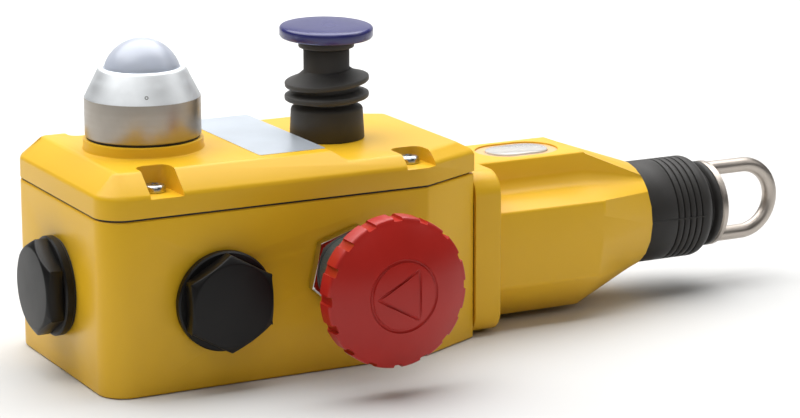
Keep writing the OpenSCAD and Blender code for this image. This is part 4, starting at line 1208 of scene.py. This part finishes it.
@dataclass
class Screws:
    """Pan-head screws with a cross recess, modelled once and copied."""

    head_d: float = 6.4
    head_h: float = 2.2
    shank_d: float = 3.0
    recess_w: float = 0.95
    recess_reach: float = 1.95
    recess_depth: float = 1.3

    def model(self, shank_l: float) -> Thing:
        """One screw, seated at the origin with its head up.

        Args:
            shank_l: length of the shank in mm.

        Returns:
            The screw.
        """
        r, h = self.head_d / 2, self.head_h
        screw = turned("pan_screw", [
            (self.shank_d / 2 - 0.4, -shank_l), (self.shank_d / 2, -shank_l + 0.5), (self.shank_d / 2, 0),
            (r - 0.15, 0), (r, 0.15), (r, h * 0.5), (r * 0.965, h * 0.72), (r * 0.87, h * 0.88),
            (r * 0.68, h * 0.97), (r * 0.35, h),
        ], 48)
        for spin in (0, 90):
            slot = block("recess", (2 * self.recess_reach, self.recess_w, 2 * self.recess_depth), (0, 0, h))
            with editing(slot, Kind.FACE, lambda face: face.normal.z < -0.9):
                bpy.ops.transform.resize(value=(0.45, 0.6, 1), center_override=(0, 0, 0))
            cut(screw, settle(slot, spin=spin + 20))
        return screw

    def set_all(self, node: str, places: Sequence[Vector], shank_l: float, way: Way = Way.UP) -> None:
        """Copies the screw to its places and joins the copies into the node's piece.

        Args:
            node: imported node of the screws.
            places: seats of the heads, in metres.
            shank_l: length of the shank in mm.
            way: where the heads point.
        """
        first = self.model(shank_l)
        copies = []
        for step, place in enumerate(places):
            copy = copied(first, f"{node}_{step}")
            copies.append(settle(copy, way, place, spin=37 * step))
        bpy.data.objects.remove(first)
        take(*copies)
        bpy.ops.object.join()
        hand_over(named(node + "_set"), Finishes.ZINC, Body.HOUSING, Slot.ZINC_STEEL, node)


@dataclass
class Plugs:
    """Blanking plugs: a round flange and a hexagon with turned corners."""

    flange_d: float = 28.8
    flange_t: float = 2.6
    thread_d: float = 19.9
    thread_l: float = 9.0
    seal_t: float = 0.6
    hex_af: float = 24.6
    hex_h: float = 5.2
    chamfer: float = 1.6

    def model(self) -> Thing:
        """One plug along +Z, its seat at the origin.

        Returns:
            The plug.
        """
        r, low = self.flange_d / 2, self.seal_t
        plug = turned("plug", [
            (self.thread_d / 2 - 0.8, -self.thread_l), (self.thread_d / 2, -self.thread_l + 0.8),
            (self.thread_d / 2, low), (r - 0.3, low), (r, low + 0.3), (r, low + self.flange_t - 0.5),
            (r - 0.5, low + self.flange_t), (8, low + self.flange_t),
        ])
        corner = self.hex_af / math.sqrt(3)
        take()
        base = low + self.flange_t - 0.05
        bpy.ops.mesh.primitive_cylinder_add(
            vertices=6, radius=mm(corner), depth=mm(self.hex_h), location=(0, 0, mm(base + self.hex_h / 2))
        )
        hexagon = settle(named("plug_hexagon"))
        top = base + self.hex_h
        cone = turned("corner_turning", [
            (self.hex_af, base - 1), (self.hex_af, top - self.chamfer - 0.9), (corner + 0.15, top - self.chamfer),
            (self.hex_af / 2 - 0.5, top + 0.02),
        ], 96)
        cut(hexagon, cone, Boolean.COMMON)
        soften(hexagon, 0.35, 2, 20)
        take(plug, hexagon)
        bpy.ops.object.join()
        return plug

    def build(self) -> None:
        """Places the three plugs and dresses their seals."""
        model = self.model()
        base_low, base_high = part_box("housing_base")
        for side, way in (("front", Way.FRONT), ("end", Way.END), ("rear", Way.REAR)):
            node = "plug_" + side
            at = middle(node)
            if side == "end":
                at.x = base_low.x
            else:
                at.y = base_low.y if side == "front" else base_high.y
            plug = settle(copied(model, node + "_moulded"), way, at)
            hand_over(plug, Finishes.PLUG_NYLON, Body.HOUSING, Slot.BLACK_NYLON, node)
        bpy.data.objects.remove(model)
        dress("plug_seals", Finishes.SEAL)


@dataclass
class Beacon:
    """Signal lamp: a turned aluminium collar, an opal dome and its lamps."""

    collar_d: float = 33.4
    straight: float = 11.3
    cone_h: float = 8.4
    rim_d: float = 24.8
    shank_r: float = 9.0
    shank_l: float = 14.0
    dome_d: float = 21.8
    dome_h: float = 8.2
    dome_t: float = 1.4
    grub_up: float = 2.2
    grub_turn: float = -108.0

    def build(self) -> None:
        """Models the collar and the dome and dresses the rest."""
        foot = middle("beacon_collar")
        foot.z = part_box("beacon_collar")[0].z + mm(self.shank_l)
        self.collar(foot)
        self.dome(foot)
        dress("beacon_seal", Finishes.SEAL)
        dress("beacon_board", Finishes.BOARD)
        dress("beacon_leds", Finishes.LAMP)
        softened("beacon_nut", Finishes.ZINC, Body.HOUSING, Slot.ZINC_STEEL)

    def collar(self, foot: Vector) -> None:
        """Turned collar: a straight body in a darker warm grey as painted shade, and a cone in near white as a painted
        highlight, with a small grub screw.

        Args:
            foot: middle of the seat on the lid, in metres.
        """
        r, top = self.collar_d / 2, self.straight + self.cone_h
        bore, rim = self.dome_d / 2 + 0.06, self.rim_d / 2
        body = turned("beacon_collar_turned", [
            (self.shank_r - 2, -self.shank_l), (self.shank_r - 0.5, -self.shank_l),
            (self.shank_r, 0.5 - self.shank_l), (self.shank_r, 0), (r - 0.5, 0), (r - 0.15, 0.15), (r, 0.5),
            (r, self.straight), (bore - 2.4, self.straight), (bore - 2.4, 3), (self.shank_r - 2, 3),
        ], 128, open_bore=True)
        cone = turned("beacon_collar_cone", [
            (bore, self.straight), (r - 0.05, self.straight), (r - 0.12, self.straight + 0.15),
            (rim + 0.35, top - 0.6), (rim + 0.12, top - 0.25), (rim - 0.25, top), (bore + 0.25, top),
            (bore, top - 0.25),
        ], 128, open_bore=True)
        centre = tuple(1000 * v for v in foot)
        # One turned aluminium in two colours: the body's darker warm grey is painted shade and the cone's near white is
        # a painted highlight of the lights above.
        for thing, colour, roughness, nodes in ((body, "#A59E95", 0.36, ("beacon_collar",)),
                                                (cone, "#F4F7F9", 0.52, ())):
            shaded_or_lit_alloy = Turned(thing.name + "_aluminium", colour, roughness, metallic=1.0, dark=0.92, patch_mm=7,
                           centre=centre, line_mm=0.3, line_um=1.6)
            hand_over(settle(thing, at=foot), shaded_or_lit_alloy, Body.HOUSING, Slot.COLLAR_ALU, *nodes, smooth=28)
        hand_over(self.grub(foot), Finishes.SPRING, Body.HOUSING, Slot.ZINC_STEEL)

    def grub(self, foot: Vector) -> Thing:
        """Tiny set screw, flush in the cone.

        Args:
            foot: middle of the seat on the lid, in metres.

        Returns:
            The screw, in place.
        """
        lean = math.atan2(self.collar_d / 2 - self.rim_d / 2, self.cone_h)
        grub = turned("beacon_grub_screw", [(0.55, -1), (0.55, 0.02), (0.3, 0.02), (0.3, -0.3)], 16)
        height = self.straight + self.grub_up
        out = self.collar_d / 2 - (self.collar_d - self.rim_d) / 2 * self.grub_up / self.cone_h
        tilt = Matrix.Rotation(math.radians(self.grub_turn), 4, "Z") @ Matrix.Translation((mm(out), 0, mm(height)))
        grub.matrix_world = Matrix.Translation(foot) @ tilt @ Matrix.Rotation(math.pi / 2 - lean, 4, "Y")
        return settle(grub)

    def dome(self, foot: Vector) -> None:
        """Hollow opal dome with a straight foot in the collar.

        Args:
            foot: middle of the seat on the lid, in metres.
        """
        base, rim = self.straight + 2.4, self.straight + self.cone_h

        def shell(radius: float, rise: float) -> list[Ring]:
            """Rings from the foot over the crown.

            Args:
                radius: radius at the rim in mm.
                rise: height of the crown over the rim in mm.

            Returns:
                The rings, in mm.
            """
            ball = (radius * radius + rise * rise) / (2 * rise)
            reach = math.asin(radius / ball) if rise <= radius else math.pi - math.asin(radius / ball)
            return [(radius, base)] + [
                (ball * math.sin(a), rim + rise - ball + ball * math.cos(a))
                for a in (reach * (1 - step / 14) for step in range(14))
            ] + [(0.3, rim + rise)]

        outer = shell(self.dome_d / 2, self.dome_h)
        inner = shell(self.dome_d / 2 - self.dome_t, self.dome_h - self.dome_t)
        dome = turned("beacon_dome_moulded", [*reversed(inner), *outer], 96)
        settle(dome, at=foot)
        hand_over(dome, Finishes.DOME, Body.HOUSING, Slot.DOME, "beacon_dome")


@dataclass
class ResetKnob:
    """Pull knob: a blue cap on a stem, with a folded rubber boot."""

    cap_d: float = 27.6
    cap_h: float = 4.5
    cap_lean: float = 2.2
    neck_d: float = 13.6
    foot_d: float = 22.2
    fin_d: float = 25.0
    cup_h: float = 9.6
    wall: float = 1.6
    fold: float = 3.7
    stem_d: float = 6.0
    tilt: tuple[float, float] = (2.2, 5.2)

    def build(self) -> None:
        """Models the cap, the boot and the spring and dresses the rest."""
        axis = middle("reset_cap")
        axis.z = 0
        self.cap(axis)
        self.boot(axis)
        Coil("reset_spring", 4.2, 0.8, 5, Way.UP, Body.RESET).build()
        softened("reset_collar", Finishes.KNOB_BOOT, Body.RESET, Slot.BOOT_RUBBER, 0.5)
        softened("reset_stem", Finishes.SHAFT, Body.RESET, Slot.STAINLESS)
        softened("reset_latch", Finishes.ZINC, Body.RESET, Slot.ZINC_STEEL)
        softened("reset_bush", Finishes.BRONZE, Body.HOUSING, Slot.BRONZE)
        softened("reset_nut", Finishes.ZINC, Body.HOUSING, Slot.ZINC_STEEL)

    def cap(self, axis: Vector) -> None:
        """Cap with a nearly flat top, a low upright side and a hub below, a little askew on its stem.

        Args:
            axis: foot of the knob's axis, in metres.
        """
        r, h = self.cap_d / 2, self.cap_h
        foot = 1000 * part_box("reset_cap")[0].z
        rings = [(self.stem_d / 2 + 0.1, 3.2), (self.stem_d / 2 + 0.1, 0), (8.6, 0), (9.1, 0.1), (12.7, 0.8),
                 (r - 0.35, 1.0), (r, 1.5), (r, h - 1.05), (r - 0.12, h - 0.68), (r - 0.42, h - 0.4),
                 (r - 0.9, h - 0.24), (9, h - 0.06), (5, h), (0.8, h)]
        blank = turned("reset_cap_moulded", rings, 96)
        with editing(blank, Kind.VERT):
            bpy.ops.transform.rotate(value=-math.radians(self.cap_lean), orient_axis="X",
                                     center_override=(0, 0, mm(h / 2)))
        cap = settle(blank, at=axis + Vector((0, 0, mm(foot))))
        hand_over(cap, Finishes.BLUE, Body.RESET, Slot.BLUE_PLASTIC, "reset_cap")

    def boot(self, axis: Vector) -> None:
        """Boot: a cup, two folds and a neck, taken off its body.

        Args:
            axis: foot of the knob's axis, in metres.
        """
        low, high = (1000 * corner.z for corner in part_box("reset_boot"))
        cup, foot, fin, neck = low + self.cup_h, self.foot_d / 2, self.fin_d / 2, self.neck_d / 2
        bore = self.stem_d / 2 + 0.4

        def fin_at(z: float) -> list[Ring]:
            """One rounded fold."""
            return [(fin - 1.5, z + 1.7), (fin - 0.35, z + 1.92), (fin - 0.08, z + 2.15), (fin, z + 2.45),
                    (fin, z + 3.1), (fin - 0.08, z + 3.35), (fin - 0.35, z + 3.5), (fin - 1.5, z + 3.75)]

        rings = [
            (bore, cup + 1.6), (foot - self.wall, cup - 2), (foot - self.wall, low), (foot - 0.2, low),
            (foot, low + 0.3), (foot - 0.45, cup - 0.9), (foot - 0.7, cup - 0.35), (foot - 1.3, cup),
            (neck + 1.8, cup + 0.5), (neck + 1.4, cup + 0.9), *fin_at(cup),
            (neck + 2.7, cup + 4.15), (neck + 2.4, cup + 4.6), (neck + 2.7, cup + 1.4 + self.fold),
            *fin_at(cup + self.fold), (neck + 1.6, cup + 5 + self.fold), (neck + 0.5, cup + 5.9 + self.fold),
            (neck, cup + 6.8 + self.fold), (neck, high - 0.3), (neck - 0.3, high), (bore, high),
        ]
        boot = turned("reset_boot_moulded", rings, 96, open_bore=True)
        for tilt, lift, low_end, high_end in ((self.tilt[0], 0.3, 1.3, 4.3),
                                              (self.tilt[1], 1.0, self.fold + 1.3, self.fold + 5.95)):
            with editing(boot, Kind.VERT, lambda v: mm(cup + low_end) < v.co.z < mm(cup + high_end)
                         and v.co.xy.length > mm(bore + 0.5)):
                bpy.ops.transform.rotate(value=math.radians(tilt), orient_axis="Y",
                                         center_override=(0, 0, mm(cup + (low_end + high_end) / 2)))
                bpy.ops.transform.translate(value=(0, 0, mm(lift)))
        settle(boot, at=axis)
        hand_over(boot, Finishes.KNOB_BOOT, Body.HOUSING, Slot.BOOT_RUBBER, "reset_boot", smooth=50)
        blend(boot)


def blend(thing: Thing) -> None:
    """Takes a soft piece off its body, with its place baked into its mesh.

    Args:
        thing: the dressed piece.
    """
    thing.parent = None
    del thing["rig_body"]
    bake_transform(thing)


@dataclass
class Coil:
    """Compression spring, wound by the screw modifier, that stands for a node."""

    node: str
    radius: float
    wire: float
    turns: int
    way: Way
    moving: Body
    fixed_end_high: bool = True

    def build(self) -> None:
        """Winds the spring, puts it in place and takes it off its body."""
        low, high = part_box(self.node)
        lift = self.way.turn().to_3x3() @ Vector((0, 0, 1))
        length = 1000 * abs((high - low).dot(lift))
        centre = (low + high) / 2
        start = centre - lift * mm(length / 2)
        take()
        bpy.ops.mesh.primitive_circle_add(
            vertices=12, radius=mm(self.wire / 2), fill_type="NOTHING", rotation=(math.pi / 2, 0, 0),
            location=(mm(self.radius), 0, mm(self.wire / 2)),
        )
        coil = settle(named(self.node + "_wound"))
        modify(coil, "SCREW", screw_offset=mm((length - self.wire) / self.turns), iterations=self.turns,
               steps=32, render_steps=32, use_smooth_shade=True, use_merge_vertices=False)
        with editing(coil, Kind.EDGE, lambda edge: edge.is_boundary):
            bpy.ops.mesh.fill()
        seal(coil)
        settle(coil, self.way, start)
        hand_over(coil, Finishes.SPRING, Body.HOUSING, Slot.SPRING_STEEL, self.node, smooth=60)
        blend(coil)


@dataclass
class StopButton:
    """Emergency stop: a red mushroom head on a grey barrel behind a chromed hexagon nut."""

    head_d: float = 43.0
    head_h: float = 11.9
    dome: float = 4.7
    face_in: float = 0.9
    notches: int = 16
    notch_w: float = 2.7
    notch_depth: float = 1.1
    notch_l: float = 7.6
    mark_d: float = 20.1
    groove_w: float = 1.1
    groove_depth: float = 0.5
    hub_r: float = 6.9
    pivot_r: float = 4.05
    nut_af: float = 23.0
    nut_h: float = 3.1
    nut_turn: float = 17.5
    nut_cut: float = 0.35
    barrel_d: float = 18.0
    face_rings: tuple[float, ...] = (19.5, 18.5, 17, 15.5, 13.5, 11.5, 9.5, 7.5, 5.5, 3.5, 1.5, 0.4)
    mark_corners: tuple[float, ...] = (180, 58, -58)

    def build(self) -> None:
        """Models the head, the nut and the barrel's collar and dresses the rest."""
        self.axis = middle("stop_head")
        self.head()
        self.nut()
        softened("stop_barrel", Finishes.GREY, Body.HOUSING, Slot.GREY_PLASTIC, 0.3)
        softened("stop_stem", Finishes.GREY, Body.STOP_STEM, Slot.GREY_PLASTIC, 0.3)
        Coil("stop_spring", 5.6, 1.2, 4, Way.FRONT, Body.STOP_STEM, fixed_end_high=False).build()
        dress("stop_seal", Finishes.SEAL)
        softened("stop_ring", Finishes.ZINC, Body.HOUSING, Slot.ZINC_STEEL, 0.4)
        softened("stop_contact", Finishes.TERMINAL, Body.HOUSING, Slot.TERMINAL_PLASTIC, 0.4)

    def crown(self, radius: float) -> float:
        """Height of the domed face at a distance from its middle.

        Args:
            radius: the distance in mm.

        Returns:
            The height in mm.
        """
        reach = self.head_d / 2 - self.face_in
        ball = (reach * reach + self.dome * self.dome) / (2 * self.dome)
        return self.head_h - ball + math.sqrt(ball * ball - radius * radius)

    def head(self) -> None:
        """Mushroom head with grip notches round its rim and a ring and a triangle cut in its face."""
        r, h = self.head_d / 2, self.head_h
        edge = h - self.dome
        rings = [
            (self.pivot_r, 6.3), (self.pivot_r, 0), (self.hub_r, 0), (self.hub_r, 3.4), (r - 4, 3.4), (r - 4, 0),
            (r - 2, 0), (r - 0.6, 0.5), (r, 1.6), (r, edge - 1.0), (r - 0.08, edge - 0.6), (r - 0.28, edge - 0.3),
            (r - 0.55, edge - 0.1), (r - self.face_in, edge),
        ]
        rings += [(radius, self.crown(radius)) for radius in self.face_rings]
        head = turned("stop_head_moulded", rings, 144)
        notch = block("notch", (2 * self.notch_depth, self.notch_w, self.notch_l),
                      (r + 0.05, 0, self.notch_l / 2 - 0.1))
        soften(notch, 0.35, 2)
        cut(head, ring_of(notch, self.notches))
        self.engrave(head)
        back = self.axis.copy()
        back.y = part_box("stop_head")[1].y
        settle(head, Way.FRONT, back)
        hand_over(head, Finishes.RED, Body.STOP_HEAD, Slot.RED_PLASTIC, "stop_head", smooth=28)

    def engrave(self, head: Thing) -> None:
        """Ring and triangle cut in the face.

        Args:
            head: the head, with its face up.
        """
        radius, deep = self.mark_d / 2, self.groove_w / 2
        take()
        bpy.ops.mesh.primitive_torus_add(
            major_radius=mm(radius), minor_radius=mm(deep), major_segments=96, minor_segments=12,
            location=(0, 0, mm(self.crown(radius) + deep - self.groove_depth)),
        )
        cut(head, settle(named("ring_cutter")))
        inside = radius - 1.6
        corners = [Vector((inside * math.cos(a), inside * math.sin(a), 0))
                   for a in (math.radians(d) for d in self.mark_corners)]
        rods = []
        for start, end in zip(corners, corners[1:] + corners[:1]):
            line = end - start
            height = self.crown(start.length * 0.8) + deep - self.groove_depth
            take()
            bpy.ops.mesh.primitive_cylinder_add(
                vertices=12, radius=mm(deep * 0.8), depth=mm(line.length),
                location=(mm((start.x + end.x) / 2), mm((start.y + end.y) / 2), mm(height)),
                rotation=(math.pi / 2, 0, math.atan2(line.y, line.x) - math.pi / 2),
            )
            rods.append(settle(named("triangle_cutter")))
        cut(rods[0], rods[1], Boolean.ON)
        cut(rods[0], rods[2], Boolean.ON)
        cut(head, rods[0])

    def nut(self) -> None:
        """Hexagon nut with turned corners on its outer side."""
        corner = self.nut_af / math.sqrt(3)
        take()
        bpy.ops.mesh.primitive_cylinder_add(
            vertices=6, radius=mm(corner), depth=mm(self.nut_h), location=(0, 0, mm(self.nut_h / 2))
        )
        nut = settle(named("stop_nut_plated"), spin=self.nut_turn - 30)
        cone = turned("corner_turning", [
            (self.nut_af, -1), (self.nut_af, self.nut_h - self.nut_cut - 1),
            (corner + 0.1, self.nut_h - self.nut_cut), (self.nut_af / 2 - 0.4, self.nut_h + 0.02),
        ], 96)
        cut(nut, cone, Boolean.COMMON)
        bore = turned("bore_cutter", [(self.barrel_d / 2, -1), (self.barrel_d / 2, self.nut_h + 1)])
        cut(nut, bore)
        soften(nut, 0.25, 2, 20)
        at = self.axis.copy()
        at.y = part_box("stop_nut")[1].y
        settle(nut, Way.FRONT, at)
        hand_over(nut, Finishes.CHROME, Body.HOUSING, Slot.CHROME_NUT, "stop_nut", smooth=25)


@dataclass
class RopeShaft:
    """Sprung shaft with its boot, eye, cup, tension marks and cam."""

    boot_l: float = 28.3
    boot_d: float = 32.0
    spigot_r: float = 13.05
    spigot_l: float = 6.0
    end_d: float = 27.0
    shaft_r: float = 5.05
    rib_pitch: float = 2.2
    ribs: int = 5
    disc_d: float = 27.0
    disc_t: float = 2.3
    rod_d: float = 4.65
    seam_w: float = 0.35
    seam_h: float = 0.2

    def build(self) -> None:
        """Models the boot, the eye and the spring and dresses the rest."""
        self.boot()
        self.eye()
        Coil("main_spring", 10.4, 2.6, 8, Way.ROPE, Body.PULL).build()
        softened("pull_shaft", Finishes.SHAFT, Body.PULL, Slot.STAINLESS)
        softened("spring_cup", Finishes.CUP, Body.PULL, Slot.CUP_PLASTIC)
        dress("tension_marks", Finishes.MARKS)
        softened("cam_slider", Finishes.SLIDER, Body.PULL, Slot.SLIDER_PLASTIC, 0.4)
        softened("cam_nut", Finishes.ZINC, Body.PULL, Slot.ZINC_STEEL)
        for node in ("inner_bush", "nose_bush"):
            softened(node, Finishes.BRONZE, Body.HOUSING, Slot.BRONZE)

    def boot(self) -> None:
        """Sleeve boot with fine ridges, a rounded end and a mould seam."""
        low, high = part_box("shaft_boot")
        r, end, length = self.boot_d / 2, self.end_d / 2, self.boot_l
        ribs_end = length - 7.2
        first = ribs_end - self.ribs * self.rib_pitch
        outer: list[Ring] = [(self.spigot_r, 0), (r - 0.3, 0), (r, 0.3)]
        for k in range(self.ribs):
            z = first + k * self.rib_pitch
            outer += [(r, z - 0.3), (r - 0.12, z - 0.12), (r - 0.75, z), (r - 0.75, z + 0.25), (r - 0.12, z + 0.4),
                      (r, z + 0.6)]
        outer += [(r, ribs_end), (r - 0.25, ribs_end + 0.9), (r - 0.9, ribs_end + 1.9), (r - 1.9, ribs_end + 2.7),
                  (end - 1.5, ribs_end + 3.3), (end - 1.9, ribs_end + 4.1), (end - 1.7, ribs_end + 5.1),
                  (end - 0.3, ribs_end + 5.5), (end, ribs_end + 5.9), (end, length - 0.3), (end - 0.3, length)]
        inner: list[Ring] = [(self.shaft_r, length), (self.shaft_r, length - 4), (r - 2.4, length - 8),
                             (r - 2.4, self.spigot_l + 1), (self.spigot_r, self.spigot_l + 1)]
        boot = turned("shaft_boot_moulded", [*outer, *inner], 96, open_bore=True)
        for side in (-1, 1):
            seam = block("mould_seam", (self.seam_w, 0.6, ribs_end - 1.5),
                         (0, side * (r + self.seam_h - 0.3), ribs_end / 2 + 0.2))
            cut(boot, seam, Boolean.ON)
        axis = Vector((low.x, (low.y + high.y) / 2, (low.z + high.z) / 2))
        settle(boot, Way.ROPE, axis)
        hand_over(boot, Finishes.SLEEVE, Body.HOUSING, Slot.SLEEVE_RUBBER, "shaft_boot", smooth=45)
        blend(boot)

    def eye(self) -> None:
        """Eye: a bent rod welded to a disc."""
        low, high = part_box("rope_eye")
        axis_z = (low.z + high.z) / 2
        reach = 1000 * (high.x - low.x)
        leg_z = (self.disc_d - self.rod_d) / 2 - 0.2
        bend_x = reach - leg_z - self.rod_d / 2
        disc = turned("rope_eye_formed", [
            (9, 0), (self.disc_d / 2 - 0.5, 0), (self.disc_d / 2, 0.5), (self.disc_d / 2, self.disc_t - 0.6),
            (self.disc_d / 2 - 0.6, self.disc_t), (2, self.disc_t),
        ], 96)
        settle(disc, Way.ROPE)
        take()
        bpy.ops.mesh.primitive_circle_add(
            vertices=32, radius=mm(self.rod_d / 2), fill_type="NGON", rotation=(0, math.pi / 2, 0),
            location=(mm(self.disc_t - 1), 0, mm(leg_z)),
        )
        rod = named("eye_rod")
        with editing(rod):
            run = mm(bend_x - self.disc_t + 1)
            bpy.ops.mesh.extrude_region_move(TRANSFORM_OT_translate={"value": (run, 0, 0)})
            bpy.ops.mesh.spin(steps=32, angle=-math.pi, center=(mm(bend_x), 0, 0), axis=(0, 1, 0))
            bpy.ops.mesh.extrude_region_move(TRANSFORM_OT_translate={"value": (-run, 0, 0)})
        seal(rod)
        settle(rod)
        take(disc, rod)
        bpy.ops.object.join()
        settle(disc, at=(low.x, (low.y + high.y) / 2, axis_z))
        hand_over(disc, Finishes.STAINLESS, Body.PULL, Slot.STAINLESS, "rope_eye", smooth=40)


@dataclass
class Contacts:
    """Contact blocks, their bracket and plungers, and the terminals."""

    edge: float = 0.3

    def build(self) -> None:
        """Rounds the edges of the inner pieces and gives them their finishes."""
        for node, finish, body, slot in (
            ("contact_bracket", Finishes.ZINC, Body.HOUSING, Slot.ZINC_STEEL),
            ("contact_block_front", Finishes.BLOCK, Body.HOUSING, Slot.BLOCK_PLASTIC),
            ("contact_block_rear", Finishes.BLOCK, Body.HOUSING, Slot.BLOCK_PLASTIC),
            ("plunger_front", Finishes.PLUNGER, Body.CONTACT_FRONT, Slot.PLUNGER_PLASTIC),
            ("plunger_rear", Finishes.PLUNGER, Body.CONTACT_REAR, Slot.PLUNGER_PLASTIC),
            ("terminal_block", Finishes.TERMINAL, Body.HOUSING, Slot.TERMINAL_PLASTIC),
            ("contact_screws", Finishes.ZINC, Body.HOUSING, Slot.ZINC_STEEL),
            ("terminal_screws", Finishes.ZINC, Body.HOUSING, Slot.ZINC_STEEL),
        ):
            softened(node, finish, body, slot, self.edge)
        dress("bracket_screws", Finishes.ZINC)
        dress("earth_screw", Finishes.BRONZE)
        dress("neck_screws", Finishes.ZINC)


@dataclass(frozen=True)
class SoftBox:
    """Rectangular soft light: its place and size in metres, the point it faces and its radiance."""

    name: str
    at: tuple[float, float, float]
    size: tuple[float, float]
    radiance: float
    faces: tuple[float, float, float]

    def hang(self) -> None:
        """Sets the light up."""
        take()
        bpy.ops.object.light_add(type="AREA", location=self.at)
        lamp = bpy.context.object
        lamp.name = self.name
        lamp.data.shape = "RECTANGLE"
        lamp.data.size, lamp.data.size_y = self.size
        lamp.data.energy = self.radiance * math.pi * self.size[0] * self.size[1]
        way = Vector(self.faces) - Vector(self.at)
        lamp.rotation_euler = way.to_track_quat("-Z", "Y").to_euler()


@dataclass
class Studio:
    """Pale floor, soft lights and the camera."""

    azimuth: float = -27.43
    elevation: float = 13.35
    roll: float = -0.12
    distance: float = 869.8
    aim: tuple[float, float, float] = (49.8, 0.0, 35.3)
    lens: float = 129.69
    sensor: float = 36.0
    floor_size: float = 12.0
    floor_drop: float = 0.15
    ambient: float = 0.05
    boxes: tuple[SoftBox, ...] = (
        SoftBox("overhead", (0.05, 0.5, 1.0), (1.9, 1.5), 3.9, (0.05, 0.5, 0.0)),
        SoftBox("behind", (0.8, 1.6, 0.45), (3.0, 0.8), 0.7, (0.0, 0.0, 0.05)),
        SoftBox("front_high", (-0.35, -0.85, 0.8), (1.0, 0.55), 0.95, (0.0, 0.0, 0.05)),
        SoftBox("left_high", (-0.9, 0.3, 0.9), (0.8, 0.5), 0.6, (0.0, 0.0, 0.05)),
        SoftBox("right_high", (1.0, -0.5, 0.75), (0.8, 0.5), 1.15, (0.0, 0.0, 0.05)),
    )

    def build(self) -> None:
        """Sets the floor, the lights and the camera."""
        self.camera()
        take()
        bpy.ops.mesh.primitive_plane_add(size=self.floor_size, location=(0, 0, mm(-self.floor_drop)))
        floor = named("floor")
        paper = Finish("floor_paper", "#D4D4D3", 0.9, specular=0.1, grain_um=0.5, dark=0.995, patch_mm=400)
        floor.data.materials.append(paper.material())
        for box in self.boxes:
            box.hang()
        world = bpy.data.worlds.new("studio")
        world.use_nodes = True
        world.node_tree.nodes["Background"].inputs["Color"].default_value = linear("#FFFFFF")
        world.node_tree.nodes["Background"].inputs["Strength"].default_value = self.ambient
        bpy.context.scene.world = world
        bpy.context.scene.view_settings.view_transform = "Standard"

    def camera(self) -> None:
        """Camera at its azimuth, elevation and distance from the point it looks at."""
        a, e = math.radians(self.azimuth), math.radians(self.elevation)
        back = Vector((math.sin(a) * math.cos(e), -math.cos(a) * math.cos(e), math.sin(e)))
        take()
        bpy.ops.object.camera_add()
        camera = bpy.context.object
        camera.name = "camera"
        camera.data.lens = self.lens
        camera.data.sensor_width = self.sensor
        camera.data.clip_start, camera.data.clip_end = 0.05, 50
        turn = (-back).to_track_quat("-Z", "Y").to_matrix().to_4x4()
        place = Vector([mm(v) for v in self.aim]) + back * mm(self.distance)
        camera.matrix_world = Matrix.Translation(place) @ turn @ Matrix.Rotation(math.radians(self.roll), 4, "Z")
        bpy.context.scene.camera = camera


def lid_screw_seats() -> list[Vector]:
    """Seats of the lid screws' heads, from the box of their node.

    Returns:
        The four seats, in metres.
    """
    low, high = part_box("lid_screws")
    r = mm(Screws.head_d / 2)
    seat = high.z - mm(Screws.head_h)
    return [Vector((x, y, seat)) for x in (low.x + r, high.x - r) for y in (low.y + r, high.y - r)]


def main() -> None:
    """Builds the studio and every sub-assembly of the switch."""
    Studio().build()
    low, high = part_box("lid_screws")
    Screws().set_all("lid_screws", lid_screw_seats(), 1000 * (high.z - low.z) - Screws.head_h)
    for part in (LowerShell(), Lid(), Neck(), Plugs(), Beacon(), ResetKnob(), StopButton(), RopeShaft(), Contacts()):
        part.build()
        log.info("%s done", type(part).__name__)


if __name__ == "__main__":
    logging.basicConfig(level=logging.INFO, format="%(message)s")
    main()
